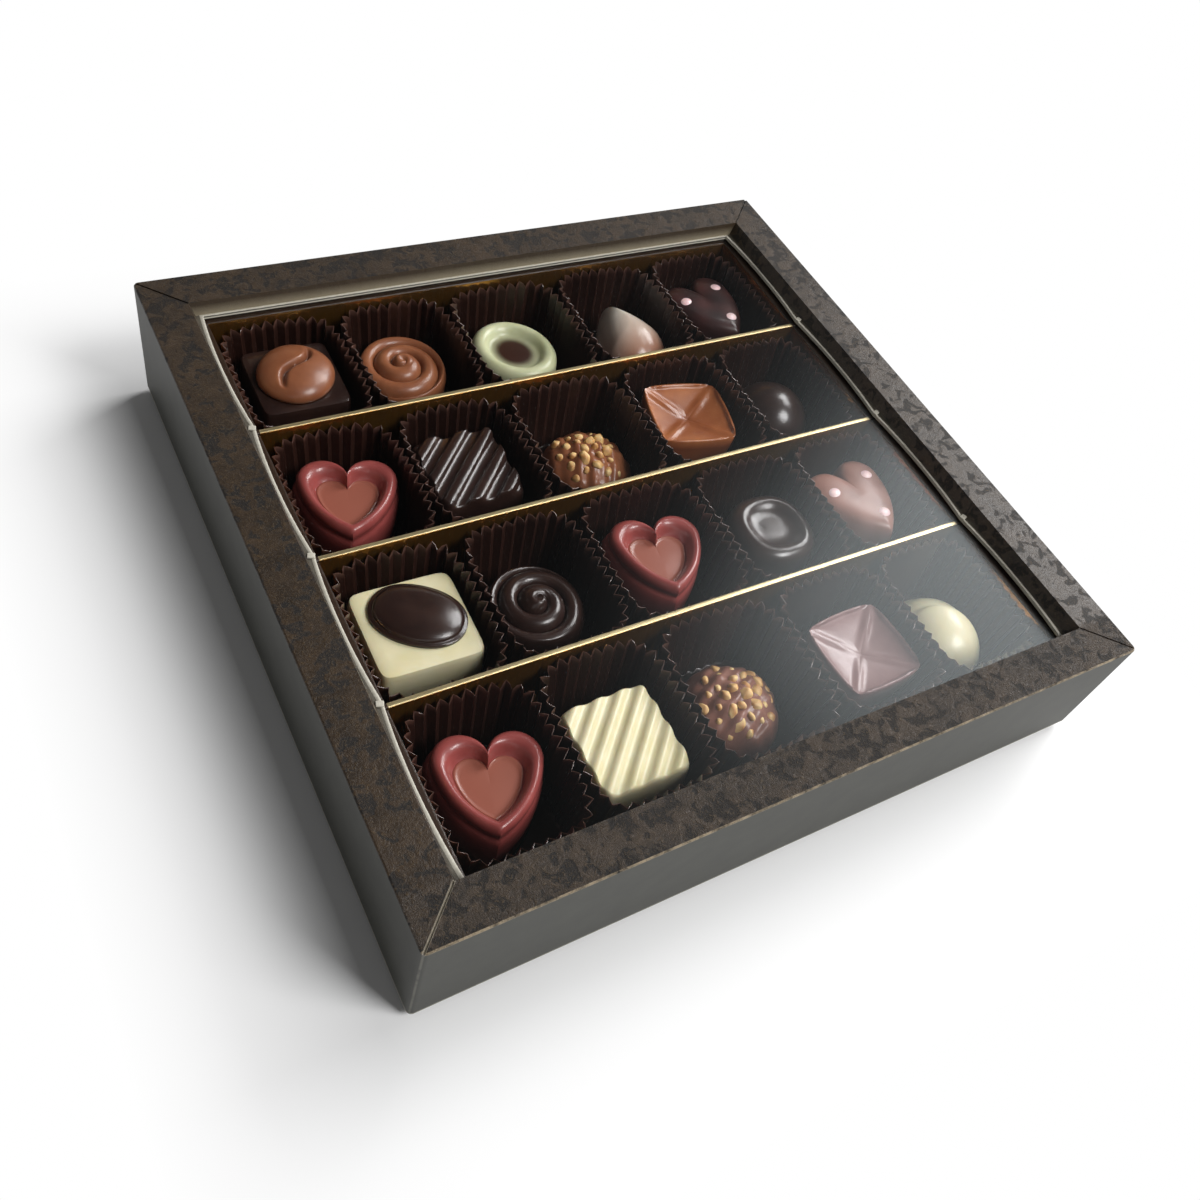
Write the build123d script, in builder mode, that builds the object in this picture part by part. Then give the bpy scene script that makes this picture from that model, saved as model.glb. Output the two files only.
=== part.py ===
from build123d import *
import os
from math import copysign, cos, pi, radians, sin, sqrt

# A gift box of filled chocolates: a folded card lid with a clear window lifts off a card tray.
# In the tray a gold card insert with three dividers holds sweets in crimped paper cups.
# Millimetres. The origin is the centre of the underside, +X runs to the right, +Y to the back.

# The closed box
box_width = 200.0
box_depth = 196.0
box_height = 38.0

# The lid, folded from one sheet of printed card
lid_card = 0.8
lid_corner_radius = 1.4
lid_fold_radius = 0.5
rail_width = 11.2
recess_depth = 4.2
side_lean = 1.5
end_lean = 0.4
side_lip = 1.8
end_lip = 0.8
scallop_rise = 1.2
seam_width = 0.5
seam_depth = 0.45
skirt_gap = 2.4

# The clear film glued under the recessed panel
film_thickness = 0.3
film_margin = 0.3

# The tray, and how the lid sits over it
tray_card = 1.0
lid_clearance = 0.6
seat_gap = 0.3

# The gold card insert: a raised floor, inner walls, a ledge and outer legs
insert_card = 0.8
insert_clearance = 0.3
ledge_gap = 0.7
floor_rise = 6.5
cell_margin = 0.8

# The dividers, whose end tabs hang in slots of the insert
divider_card = 1.2
divider_gap = 0.4
divider_tab = 3.0
tab_height = 12.0
slot_clearance = 0.2
row_count = 4

# The crimped paper cups
cup_paper = 0.3
cup_headroom = 2.6
cup_gap = 0.5
cup_taper_width = 1.0
cup_taper_depth = 5.5
cup_pleat = 0.9
cup_pleat_count = 44
cup_squareness = 5.0

# The sweets. Each has the room that the narrowest cup gives it, less its own gaps at its sides
# and ends, and stays below the cup's rim by a drop of its own. The ruby hearts and the tall block
# have the room of the wider cups in the first column
heart_side_gap = 2.2
heart_end_gap = 2.4
heart_rim_drop = 4.4
heart_recess = 3.4
dotted_side_gap = 2.2
dotted_end_gap = 4.4
tall_block_side_gap = 2.2
tall_block_end_gap = 3.0
block_side_gap = 2.6
block_end_gap = 1.6
block_rim_drop = 4.8
block_corner = 2.6
bean_block_rim_drop = 5.0
bean_side_step = 4.9
bean_end_step = 4.9
bean_height = 5.6
bean_crease_width = 1.4
bean_crease_depth = 1.2
oval_side_step = 3.9
oval_end_step = 9.4
oval_shift_across = 0.9
oval_shift_along = 1.5
oval_height = 3.6
rib_width = 2.6
rib_pitch = 5.2
rib_height = 1.5
swirl_gap = 3.6
swirl_rim_drop = 5.4
cushion_side_gap = 3.0
cushion_end_gap = 4.0
cushion_rim_drop = 4.9
cushion_hollow = 3.0
cluster_side_gap = 2.0
cluster_end_gap = 1.0
cluster_rim_drop = 7.4
nut_radius = 2.1
dome_gap = 2.8
dome_rim_drop = 5.0
drum_gap = 3.2
drum_rim_drop = 6.0
drum_dish = 1.6
flame_side_gap = 7.0
flame_end_gap = 3.0
flame_rim_drop = 5.4
fold_side_gap = 3.6
fold_end_gap = 1.0
fold_rim_drop = 5.4
fold_step = 2.2
nest_side_gap = 3.0
nest_end_gap = 0.5
nest_rim_drop = 7.4
nest_dish = 2.4

# How far a cut runs past the material it goes through
overrun = 1.0

# Where one cup ends and the next begins, from left to right, in shares of the insert's width
cup_edge_shares = [0, 0.2, 0.395, 0.61, 0.812, 1]

# Levels and spans that follow from the sizes above
lid_underside = box_height - lid_card
panel_top = box_height - recess_depth
panel_bottom = panel_top - lid_card
film_bottom = panel_bottom - film_thickness
tray_width = box_width - 2 * (lid_card + lid_clearance)
tray_depth = box_depth - 2 * (lid_card + lid_clearance)
tray_top = lid_underside - seat_gap
mouth_width = box_width - 2 * rail_width
mouth_depth = box_depth - 2 * rail_width
foot_width = mouth_width - 2 * side_lean
foot_depth = mouth_depth - 2 * end_lean
window_width = foot_width - 2 * side_lip
window_depth = foot_depth - 2 * end_lip
zone_width = window_width - 2 * cell_margin
zone_depth = window_depth - 2 * cell_margin
ledge_top = film_bottom - ledge_gap
insert_width = tray_width - 2 * (tray_card + insert_clearance)
insert_depth = tray_depth - 2 * (tray_card + insert_clearance)
cell_floor = tray_card + floor_rise
divider_top = film_bottom - divider_gap
row_depth = (zone_depth - (row_count - 1) * divider_card) / row_count
sweet_base = cell_floor + cup_paper
cup_height = film_bottom - cup_headroom - cell_floor
cup_width_shares = [right - left for left, right in zip(cup_edge_shares, cup_edge_shares[1:])]
cup_wall_room = cup_gap + 2 * cup_pleat + 2 * cup_paper
sweet_room_width = min(cup_width_shares) * zone_width - cup_taper_width - cup_wall_room
sweet_room_depth = row_depth - cup_taper_depth - cup_wall_room
sweet_room = min(sweet_room_width, sweet_room_depth)
first_room_width = cup_width_shares[0] * zone_width - cup_taper_width - cup_wall_room
first_room = min(first_room_width, sweet_room_depth)
divider_places = [
    (0, (row_count / 2 - row) * (row_depth + divider_card)) for row in range(1, row_count)
]

# The sweets' sizes, from the room in their cups
heart_width = first_room - heart_side_gap
heart_length = first_room - heart_end_gap
heart_height = cup_height - heart_rim_drop
dotted_width = sweet_room - dotted_side_gap
dotted_length = sweet_room_depth - dotted_end_gap
tall_block_width = first_room - tall_block_side_gap
tall_block_length = first_room - tall_block_end_gap
block_width = sweet_room - block_side_gap
block_length = sweet_room - block_end_gap
block_height = cup_height - block_rim_drop
bean_block_height = cup_height - bean_block_rim_drop
bean_width = block_width - bean_side_step
bean_length = block_length - bean_end_step
oval_width = tall_block_width - oval_side_step
oval_length = tall_block_length - oval_end_step
swirl_radius = (sweet_room - swirl_gap) / 2
swirl_height = cup_height - swirl_rim_drop
cushion_width = sweet_room - cushion_side_gap
cushion_length = sweet_room - cushion_end_gap
cushion_height = cup_height - cushion_rim_drop
cluster_width = sweet_room - cluster_side_gap
cluster_length = sweet_room - cluster_end_gap
cluster_height = cup_height - cluster_rim_drop
dome_radius = (sweet_room - dome_gap) / 2
dome_height = cup_height - dome_rim_drop
drum_radius = (sweet_room - drum_gap) / 2
drum_height = cup_height - drum_rim_drop
flame_width = sweet_room - flame_side_gap
flame_length = sweet_room_depth - flame_end_gap
flame_height = cup_height - flame_rim_drop
fold_width = sweet_room - fold_side_gap
fold_length = sweet_room - fold_end_gap
fold_height = cup_height - fold_rim_drop
nest_width = sweet_room - nest_side_gap
nest_length = sweet_room - nest_end_gap
nest_height = cup_height - nest_rim_drop

# Points of a heart, from the notch round its right half to the tip, in shares of width and length
notch_share = (0, 0.31)
lobe_share = (0.25, 0.5)
flank_share = (0.5, 0.2)
waist_share = (0.33, -0.21)
tip_share = (0, -0.5)

# Points of a flame, from its pointed back end round its right half to its broad front, in the same shares
flame_tip_share = (0, 0.5)
flame_shoulder_share = (0.38, 0.08)
flame_flank_share = (0.5, -0.18)
flame_foot_share = (0, -0.5)

# Layers of each moulding from its base up: a share of its height and a share of its plan
heart_layer_shares = [(0, 0.9), (0.3, 1.0), (0.72, 0.98), (0.9, 0.93), (1.0, 0.82)]
heart_hollow_shares = [(0, 0.54), (0.7, 0.6), (1.0, 0.66)]
block_layer_shares = [(0, 1.0), (0.82, 0.95), (0.95, 0.92), (1.0, 0.86)]
dome_layer_shares = [(0, 0.9), (0.22, 1.0), (0.55, 0.94), (0.8, 0.76), (0.94, 0.5), (1.0, 0.2)]
cap_layer_shares = [(0, 1.0), (0.4, 0.94), (0.75, 0.74), (0.93, 0.48), (1.0, 0.18)]
cushion_layer_shares = [(0, 0.86), (0.55, 0.97), (0.92, 1.0), (1.0, 0.97)]
cushion_hollow_shares = [(0, 0.08), (1.0, 0.88)]
dish_layer_shares = [(0, 0.42), (0.5, 0.62), (1.0, 0.7)]

# The swirl's outline in shares of its radius and height: each ring runs over a crest to the next
swirl_side_share = (1.0, 0.42)
swirl_ring_shares = [
    ((0.95, 0.66), (0.7, 0.66)),
    ((0.62, 0.84), (0.42, 0.82)),
    ((0.28, 1.0), (0.1, 0.92)),
]

# Where nuts sit on a cluster, in shares of its width, length and height
nut_place_shares = [
    (-0.3, 0.2, 0.78),
    (-0.08, 0.3, 0.84),
    (0.2, 0.26, 0.8),
    (0.32, 0.02, 0.76),
    (0.08, 0.04, 0.98),
    (-0.2, -0.04, 0.92),
    (-0.32, -0.22, 0.7),
    (-0.02, -0.24, 0.88),
    (0.22, -0.2, 0.82),
    (0.06, -0.4, 0.62),
]


def placed(points_share, width, length):
    return (points_share[0] * width, points_share[1] * length)


def heart_outline(plane, width, length):
    notch = placed(notch_share, width, length)
    lobe = placed(lobe_share, width, length)
    flank = placed(flank_share, width, length)
    waist = placed(waist_share, width, length)
    tip = placed(tip_share, width, length)
    with BuildSketch(plane) as outline:
        with BuildLine():
            ThreePointArc(notch, lobe, flank)
            ThreePointArc(flank, waist, tip)
            mirror(about=Plane.YZ)
        make_face()
    return outline.sketch


def block_outline(plane, width, length):
    with BuildSketch(plane) as outline:
        RectangleRounded(width, length, block_corner)
    return outline.sketch


def oval_outline(plane, width, length):
    with BuildSketch(plane) as outline:
        Ellipse(width / 2, length / 2)
    return outline.sketch


def flame_outline(plane, width, length):
    tip = placed(flame_tip_share, width, length)
    shoulder = placed(flame_shoulder_share, width, length)
    flank = placed(flame_flank_share, width, length)
    foot = placed(flame_foot_share, width, length)
    with BuildSketch(plane) as outline:
        with BuildLine():
            ThreePointArc(tip, shoulder, flank)
            Spline(flank, foot, tangents=[(0, -1), (-1, 0)])
            mirror(about=Plane.YZ)
        make_face()
    return outline.sketch


def layers(outline, seat, width, length, height, layer_shares):
    return [
        outline(seat.offset(level * height), size * width, size * length)
        for level, size in layer_shares
    ]


def heart(seat):
    with BuildPart() as sweet:
        loft(
            layers(heart_outline, seat, heart_width, heart_length, heart_height, heart_layer_shares),
            ruled=True,
        )
        hollow = seat.offset(heart_height - heart_recess)
        loft(
            layers(heart_outline, hollow, heart_width, heart_length, heart_recess, heart_hollow_shares),
            ruled=True,
            mode=Mode.SUBTRACT,
        )
    return sweet.part


def plain_heart(seat):
    with BuildPart() as sweet:
        loft(
            layers(heart_outline, seat, dotted_width, dotted_length, heart_height, heart_layer_shares),
            ruled=True,
        )
    return sweet.part


def tall_block(seat):
    with BuildPart() as sweet:
        loft(
            layers(
                block_outline, seat, tall_block_width, tall_block_length, block_height, block_layer_shares
            ),
            ruled=True,
        )
    return sweet.part


def bean_block(seat):
    with BuildPart() as sweet:
        loft(
            layers(block_outline, seat, block_width, block_length, bean_block_height, block_layer_shares),
            ruled=True,
        )
    return sweet.part


def bean_cap(seat):
    top = seat.offset(bean_block_height)
    crease_half = bean_length / 3
    with BuildPart() as cap:
        loft(layers(oval_outline, top, bean_width, bean_length, bean_height, cap_layer_shares))
        with BuildSketch(top.offset(bean_height + overrun)):
            with BuildLine():
                ThreePointArc((0, -crease_half), (bean_crease_width / 2, 0), (0, crease_half))
                ThreePointArc((0, crease_half), (-bean_crease_width / 2, 0), (0, -crease_half))
            make_face()
        extrude(amount=-(overrun + bean_crease_depth), mode=Mode.SUBTRACT)
    return cap.part


def oval_cap(seat):
    top = seat.offset(block_height)
    with BuildPart() as cap:
        loft(layers(oval_outline, top, oval_width, oval_length, oval_height, cap_layer_shares))
    return cap.part


def ribbed_block(seat):
    rib_count = int(2 * block_width / rib_pitch)
    rib_places = [((rib - (rib_count - 1) / 2) * rib_pitch, 0) for rib in range(rib_count)]
    top_share = block_layer_shares[-1][1]
    plain_height = block_height - rib_height
    with BuildPart() as sweet:
        loft(
            layers(block_outline, seat, block_width, block_length, plain_height, block_layer_shares),
            ruled=True,
        )
        turned = seat.offset(plain_height).rotated((0, 0, -45))
        with BuildSketch(turned):
            with Locations(*rib_places):
                Rectangle(rib_width, 2 * block_length)
            RectangleRounded(
                top_share * block_width,
                top_share * block_length,
                block_corner,
                rotation=45,
                mode=Mode.INTERSECT,
            )
        extrude(amount=rib_height)
    return sweet.part


def swirl(seat):
    side = Plane(origin=seat.origin, x_dir=seat.x_dir, z_dir=-seat.y_dir)
    with BuildPart() as sweet:
        with BuildSketch(side):
            with BuildLine():
                start = Vector(placed(swirl_side_share, swirl_radius, swirl_height))
                Line((swirl_radius, 0), start)
                for crest_share, end_share in swirl_ring_shares:
                    end = Vector(placed(end_share, swirl_radius, swirl_height))
                    ThreePointArc(start, placed(crest_share, swirl_radius, swirl_height), end)
                    start = end
                Polyline(start, (0, start.Y), (0, 0), (swirl_radius, 0))
            make_face()
        revolve(axis=Axis(seat.origin, seat.z_dir))
    return sweet.part


def cushion(seat):
    hollow = seat.offset(cushion_height - cushion_hollow)
    with BuildPart() as sweet:
        loft(
            layers(block_outline, seat, cushion_width, cushion_length, cushion_height, cushion_layer_shares),
            ruled=True,
        )
        loft(
            [
                square_outline(hollow.offset(level * cushion_hollow), size * cushion_width, size * cushion_length)
                for level, size in cushion_hollow_shares
            ],
            ruled=True,
            mode=Mode.SUBTRACT,
        )
    return sweet.part


def square_outline(plane, width, length):
    with BuildSketch(plane) as outline:
        Rectangle(width, length)
    return outline.sketch


def nut_cluster(seat):
    with BuildPart() as sweet:
        loft(layers(oval_outline, seat, cluster_width, cluster_length, cluster_height, dome_layer_shares))
        for across, along, up in nut_place_shares:
            nut_seat = seat.offset(up * cluster_height)
            with Locations(nut_seat.from_local_coords((across * cluster_width, along * cluster_length, 0))):
                Sphere(nut_radius)
    return sweet.part


def dome(seat):
    with BuildPart() as sweet:
        loft(layers(oval_outline, seat, 2 * dome_radius, 2 * dome_radius, dome_height, dome_layer_shares))
    return sweet.part


def drum(seat):
    hollow = seat.offset(drum_height - drum_dish)
    with BuildPart() as sweet:
        loft(
            layers(oval_outline, seat, 2 * drum_radius, 2 * drum_radius, drum_height, block_layer_shares),
            ruled=True,
        )
        loft(
            layers(oval_outline, hollow, 2 * drum_radius, 2 * drum_radius, drum_dish, dish_layer_shares),
            ruled=True,
            mode=Mode.SUBTRACT,
        )
    return sweet.part


def flame(seat):
    with BuildPart() as sweet:
        loft(
            layers(flame_outline, seat, flame_width, flame_length, flame_height, dome_layer_shares),
            ruled=True,
        )
    return sweet.part


def folded_bean(seat):
    upper = Plane(origin=seat.from_local_coords((0, fold_step, 0)), x_dir=seat.x_dir, z_dir=seat.z_dir)
    with BuildPart() as sweet:
        loft(layers(oval_outline, seat, fold_width, fold_length, fold_height, dome_layer_shares))
        upper_height = fold_height - fold_step
        loft(layers(oval_outline, upper, fold_width, fold_length, upper_height, dome_layer_shares))
    return sweet.part


def nest(seat):
    hollow = seat.offset(nest_height - nest_dish)
    with BuildPart() as sweet:
        loft(layers(oval_outline, seat, nest_width, nest_length, nest_height, block_layer_shares), ruled=True)
        loft(
            layers(oval_outline, hollow, nest_width, nest_length, nest_dish, dish_layer_shares),
            ruled=True,
            mode=Mode.SUBTRACT,
        )
    return sweet.part


# The plan that each moulding fills
heart_plan = (heart_width, heart_length)
dotted_plan = (dotted_width, dotted_length)
block_plan = (block_width, block_length)
tall_block_plan = (tall_block_width, tall_block_length)
swirl_plan = (2 * swirl_radius, 2 * swirl_radius)
cushion_plan = (cushion_width, cushion_length)
cluster_plan = (cluster_width, cluster_length)
dome_plan = (2 * dome_radius, 2 * dome_radius)
drum_plan = (2 * drum_radius, 2 * drum_radius)
flame_plan = (flame_width, flame_length)
fold_plan = (fold_width, fold_length)
nest_plan = (nest_width, nest_length)

# Every sweet: its row from the back, its column from the left, its name, its moulding and plan,
# its shift in shares of the play that its cup leaves it, and its turn in degrees
sweets_with_shift_shares = [
    (1, 1, "bean_block", bean_block, block_plan, (0.15, 0.32), -1),
    (1, 2, "milk_swirl", swirl, swirl_plan, (-0.3, 0.33), 0),
    (1, 3, "pistachio_nest", nest, nest_plan, (-0.14, 0.15), 35),
    (1, 4, "marbled_flame", flame, flame_plan, (0.4, 0.14), 4),
    (1, 5, "dotted_dark_heart", plain_heart, dotted_plan, (0.45, 0.15), 12),
    (2, 1, "ruby_heart_back", heart, heart_plan, (-0.35, 0.12), -16),
    (2, 2, "ribbed_dark_block", ribbed_block, block_plan, (-0.17, 0.25), 0),
    (2, 3, "nut_cluster_back", nut_cluster, cluster_plan, (0.39, 0), 20),
    (2, 4, "copper_cushion", cushion, cushion_plan, (0.13, 0.23), -12),
    (2, 5, "dark_dome", dome, dome_plan, (0.23, 0.26), 0),
    (3, 1, "white_block", tall_block, tall_block_plan, (0, 0.18), -1),
    (3, 2, "dark_swirl", swirl, swirl_plan, (-0.35, -0.1), 40),
    (3, 3, "ruby_heart_middle", heart, heart_plan, (0.22, 0.11), -10),
    (3, 4, "dark_drum", drum, drum_plan, (0.46, 0), 0),
    (3, 5, "dotted_milk_heart", plain_heart, dotted_plan, (0.4, 0), 8),
    (4, 1, "ruby_heart_front", heart, heart_plan, (-0.35, -0.11), -16),
    (4, 2, "ribbed_white_block", ribbed_block, block_plan, (-0.17, -0.31), 1),
    (4, 3, "nut_cluster_front", nut_cluster, cluster_plan, (-0.05, 0), -25),
    (4, 4, "mauve_cushion", cushion, cushion_plan, (0.32, -0.18), 3),
    (4, 5, "folded_white_bean", folded_bean, fold_plan, (0, -0.41), -20),
]
oval_turn = -35
bean_turn = -40


def cup_span(column):
    left, right = [(share - 1 / 2) * zone_width for share in cup_edge_shares[column - 1 : column + 1]]
    return left, right


def cup_centre(row, column):
    left, right = cup_span(column)
    return (left + right) / 2, ((row_count + 1) / 2 - row) * (row_depth + divider_card)


def sweet_seat(row, column, plan, shift_share, turn):
    left, right = cup_span(column)
    play_across = right - left - cup_taper_width - cup_wall_room - plan[0]
    play_along = sweet_room_depth - plan[1]
    across, along = cup_centre(row, column)
    origin = (across + shift_share[0] * play_across, along + shift_share[1] * play_along, sweet_base)
    return Plane(origin=origin, x_dir=(cos(radians(turn)), sin(radians(turn)), 0), z_dir=(0, 0, 1))


def pleated_points(width, depth, pleat):
    corners = []
    for step in range(2 * cup_pleat_count):
        angle = pi * (step + 1 / 2) / cup_pleat_count
        reach = pleat / 2 if step % 2 else -pleat / 2
        across = copysign(abs(cos(angle)) ** (2 / cup_squareness), cos(angle))
        along = copysign(abs(sin(angle)) ** (2 / cup_squareness), sin(angle))
        corners.append(((width / 2 + reach) * across, (depth / 2 + reach) * along))
    return corners


def pleated_outline(plane, width, depth, pleat):
    with BuildSketch(plane) as outline:
        with BuildLine():
            Polyline(*pleated_points(width, depth, pleat), close=True)
        make_face()
    return outline.sketch


def crimped_cup(column):
    left, right = cup_span(column)
    base = Plane.XY.offset(cell_floor)
    paper_floor = base.offset(cup_paper)
    rim = base.offset(cup_height)
    rim_width = right - left - cup_gap - cup_pleat
    rim_depth = row_depth - cup_gap - cup_pleat
    base_width = rim_width - cup_taper_width
    base_depth = rim_depth - cup_taper_depth
    inset = 2 * cup_paper
    with BuildPart() as cup:
        loft(
            [
                pleated_outline(base, base_width, base_depth, cup_pleat),
                pleated_outline(rim, rim_width, rim_depth, cup_pleat),
            ],
            ruled=True,
        )
        loft(
            [
                pleated_outline(paper_floor, base_width - inset, base_depth - inset, cup_pleat),
                pleated_outline(rim, rim_width - inset, rim_depth - inset, cup_pleat),
            ],
            ruled=True,
            mode=Mode.SUBTRACT,
        )
    return cup.part


def scalloped_window(plane):
    corner_x = window_width / 2
    corner_y = window_depth / 2
    stops = [-corner_y] + [place[1] for place in reversed(divider_places)] + [corner_y]
    with BuildSketch(plane) as window:
        with BuildLine():
            for near, far in zip(stops, stops[1:]):
                middle = (near + far) / 2
                ThreePointArc((corner_x, near), (corner_x + scallop_rise, middle), (corner_x, far))
                ThreePointArc((-corner_x, near), (-corner_x - scallop_rise, middle), (-corner_x, far))
            Line((-corner_x, corner_y), (corner_x, corner_y))
            Line((-corner_x, -corner_y), (corner_x, -corner_y))
        make_face()
    return window.sketch


# The lid: outer walls, mitred rails, inner walls that lean in, and the recessed panel
with BuildPart() as lid_frame:
    with BuildSketch(Plane.XY.offset(skirt_gap)):
        RectangleRounded(box_width, box_depth, lid_corner_radius)
    extrude(amount=box_height - skirt_gap)
    fillet(lid_frame.faces().sort_by(Axis.Z)[-1].edges(), lid_fold_radius)
    with BuildSketch(Plane.XY.offset(skirt_gap - overrun)):
        RectangleRounded(box_width - 2 * lid_card, box_depth - 2 * lid_card, lid_corner_radius - lid_card)
    extrude(amount=lid_underside - skirt_gap + overrun, mode=Mode.SUBTRACT)
    with BuildSketch(Plane.XY.offset(panel_bottom)):
        Rectangle(foot_width + 2 * lid_card, foot_depth + 2 * lid_card)
    with BuildSketch(Plane.XY.offset(lid_underside)):
        Rectangle(mouth_width + 2 * lid_card, mouth_depth + 2 * lid_card)
    loft(ruled=True)
    with BuildSketch(Plane.XY.offset(panel_top)):
        Rectangle(foot_width, foot_depth)
    with BuildSketch(Plane.XY.offset(box_height)):
        Rectangle(mouth_width, mouth_depth)
    with BuildSketch(Plane.XY.offset(box_height + overrun)):
        Rectangle(mouth_width, mouth_depth)
    loft(ruled=True, mode=Mode.SUBTRACT)
    add(scalloped_window(Plane.XY.offset(panel_bottom - overrun)))
    extrude(amount=lid_card + 2 * overrun, mode=Mode.SUBTRACT)
    with BuildSketch(Plane.XY.offset(box_height)):
        for side_x in (-1, 1):
            for side_y in (-1, 1):
                seam_x = side_x * (box_width - rail_width) / 2
                seam_y = side_y * (box_depth - rail_width) / 2
                with Locations((seam_x, seam_y)):
                    Rectangle(sqrt(2) * rail_width, seam_width, rotation=45 * side_x * side_y)
    extrude(amount=-seam_depth, mode=Mode.SUBTRACT)

# The clear film, glued face to face under the panel
with BuildPart() as window_film:
    with BuildSketch(Plane.XY.offset(film_bottom)):
        Rectangle(foot_width + 2 * (lid_card - film_margin), foot_depth + 2 * (lid_card - film_margin))
    extrude(amount=film_thickness)

# The tray that the lid slides over: a floor and four walls
with BuildPart() as base_tray:
    with BuildSketch():
        RectangleRounded(tray_width, tray_depth, tray_card)
    extrude(amount=tray_top)
    with BuildSketch(Plane.XY.offset(tray_card)):
        Rectangle(tray_width - 2 * tray_card, tray_depth - 2 * tray_card)
    extrude(amount=tray_top - tray_card + overrun, mode=Mode.SUBTRACT)

# The gold insert: outer legs, ledge, inner walls and raised floor, with a slot for each divider tab
with BuildPart() as tray_insert:
    with BuildSketch(Plane.XY.offset(tray_card)):
        Rectangle(insert_width, insert_depth)
    extrude(amount=ledge_top - tray_card)
    with BuildSketch(Plane.XY.offset(tray_card - overrun)):
        Rectangle(insert_width - 2 * insert_card, insert_depth - 2 * insert_card)
    extrude(amount=ledge_top - insert_card - tray_card + overrun, mode=Mode.SUBTRACT)
    with BuildSketch(Plane.XY.offset(cell_floor - insert_card)):
        Rectangle(zone_width + 2 * insert_card, zone_depth + 2 * insert_card)
    extrude(amount=ledge_top - cell_floor + insert_card)
    with BuildSketch(Plane.XY.offset(cell_floor)):
        Rectangle(zone_width, zone_depth)
    extrude(amount=ledge_top - cell_floor + overrun, mode=Mode.SUBTRACT)
    slot_bottom = divider_top - tab_height - slot_clearance
    with BuildSketch(Plane.XY.offset(slot_bottom)):
        with Locations(*divider_places):
            Rectangle(zone_width + 2 * (divider_tab + slot_clearance), divider_card + 2 * slot_clearance)
    extrude(amount=ledge_top - slot_bottom + overrun, mode=Mode.SUBTRACT)

os.makedirs("parts", exist_ok=True)
lid_frame.part.label = "lid_frame"
export_step(lid_frame.part, "parts/lid_frame.step")
window_film.part.label = "window_film"
export_step(window_film.part, "parts/window_film.step")
base_tray.part.label = "base_tray"
export_step(base_tray.part, "parts/base_tray.step")
tray_insert.part.label = "tray_insert"
export_step(tray_insert.part, "parts/tray_insert.step")

# Dividers: a strip that stands on the insert's floor, with a tab at each end
for name, place in zip(("divider_back", "divider_middle", "divider_front"), divider_places):
    with BuildPart() as divider:
        with BuildSketch(Plane.XY.offset(cell_floor)):
            with Locations(place):
                Rectangle(zone_width - 2 * slot_clearance, divider_card)
        extrude(amount=divider_top - cell_floor)
        with BuildSketch(Plane.XY.offset(divider_top - tab_height)):
            with Locations(place):
                Rectangle(zone_width + 2 * divider_tab, divider_card)
        extrude(amount=tab_height)
    divider.part.label = name
    export_step(divider.part, f"parts/{name}.step")

# Each sweet stands in its own cup, on the cup's paper floor
cup_forms = [crimped_cup(column) for column in range(1, len(cup_edge_shares))]
for row, column, name, moulding, plan, shift_share, turn in sweets_with_shift_shares:
    cup_name = f"paper_cup_r{row}c{column}"
    with BuildPart() as cup:
        with Locations(cup_centre(row, column)):
            add(cup_forms[column - 1])
    cup.part.label = cup_name
    export_step(cup.part, f"parts/{cup_name}.step")
    sweet_name = f"sweet_r{row}c{column}_{name}"
    seat = sweet_seat(row, column, plan, shift_share, turn)
    sweet = moulding(seat)
    sweet.label = sweet_name
    export_step(sweet, f"parts/{sweet_name}.step")
    if moulding is bean_block:
        bean_topping = bean_cap(seat.rotated((0, 0, bean_turn)))
        bean_topping.label = "coffee_bean_topping"
        export_step(bean_topping, "parts/coffee_bean_topping.step")
    if moulding is tall_block:
        off_middle = seat.from_local_coords((oval_shift_across, oval_shift_along, 0))
        oval_seat = Plane(origin=off_middle, x_dir=seat.x_dir, z_dir=seat.z_dir)
        oval_topping = oval_cap(oval_seat.rotated((0, 0, oval_turn)))
        oval_topping.label = "dark_oval_topping"
        export_step(oval_topping, "parts/dark_oval_topping.step")
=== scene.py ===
# %% [markdown]
# A gift box of filled chocolates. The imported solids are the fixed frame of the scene: the lid, the
# film, the tray, the gold insert and its dividers keep their meshes and get real finishes, and the
# plain cups and sweets are each replaced by a fuller piece in the same place.

# %% The frame
import bpy
from math import atan2, copysign, cos, exp, hypot, pi, radians, sin, sqrt
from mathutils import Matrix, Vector
from random import Random


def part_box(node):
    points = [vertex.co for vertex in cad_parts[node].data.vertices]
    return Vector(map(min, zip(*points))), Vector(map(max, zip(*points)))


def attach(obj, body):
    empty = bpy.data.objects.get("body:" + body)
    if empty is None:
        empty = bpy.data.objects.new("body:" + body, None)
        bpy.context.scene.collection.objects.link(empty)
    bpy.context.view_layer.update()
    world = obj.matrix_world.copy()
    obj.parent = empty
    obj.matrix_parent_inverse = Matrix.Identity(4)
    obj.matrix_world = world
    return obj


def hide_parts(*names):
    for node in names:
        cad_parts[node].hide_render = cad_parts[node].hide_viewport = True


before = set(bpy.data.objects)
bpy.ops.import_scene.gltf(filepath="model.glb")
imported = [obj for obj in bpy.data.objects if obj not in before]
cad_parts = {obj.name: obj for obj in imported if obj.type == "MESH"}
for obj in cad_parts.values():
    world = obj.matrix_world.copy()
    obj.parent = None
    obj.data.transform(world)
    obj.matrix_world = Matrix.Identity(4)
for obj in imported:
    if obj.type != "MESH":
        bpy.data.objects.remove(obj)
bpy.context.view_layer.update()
MM = 0.001

# %% [markdown]
# Paint charts and print shops name a colour by its screen value. The renderer counts light in
# linear steps, so every colour below is written as a screen value and turned once, here. A pattern's
# scale is written as the width of what it stands for, in millimetres.

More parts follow.
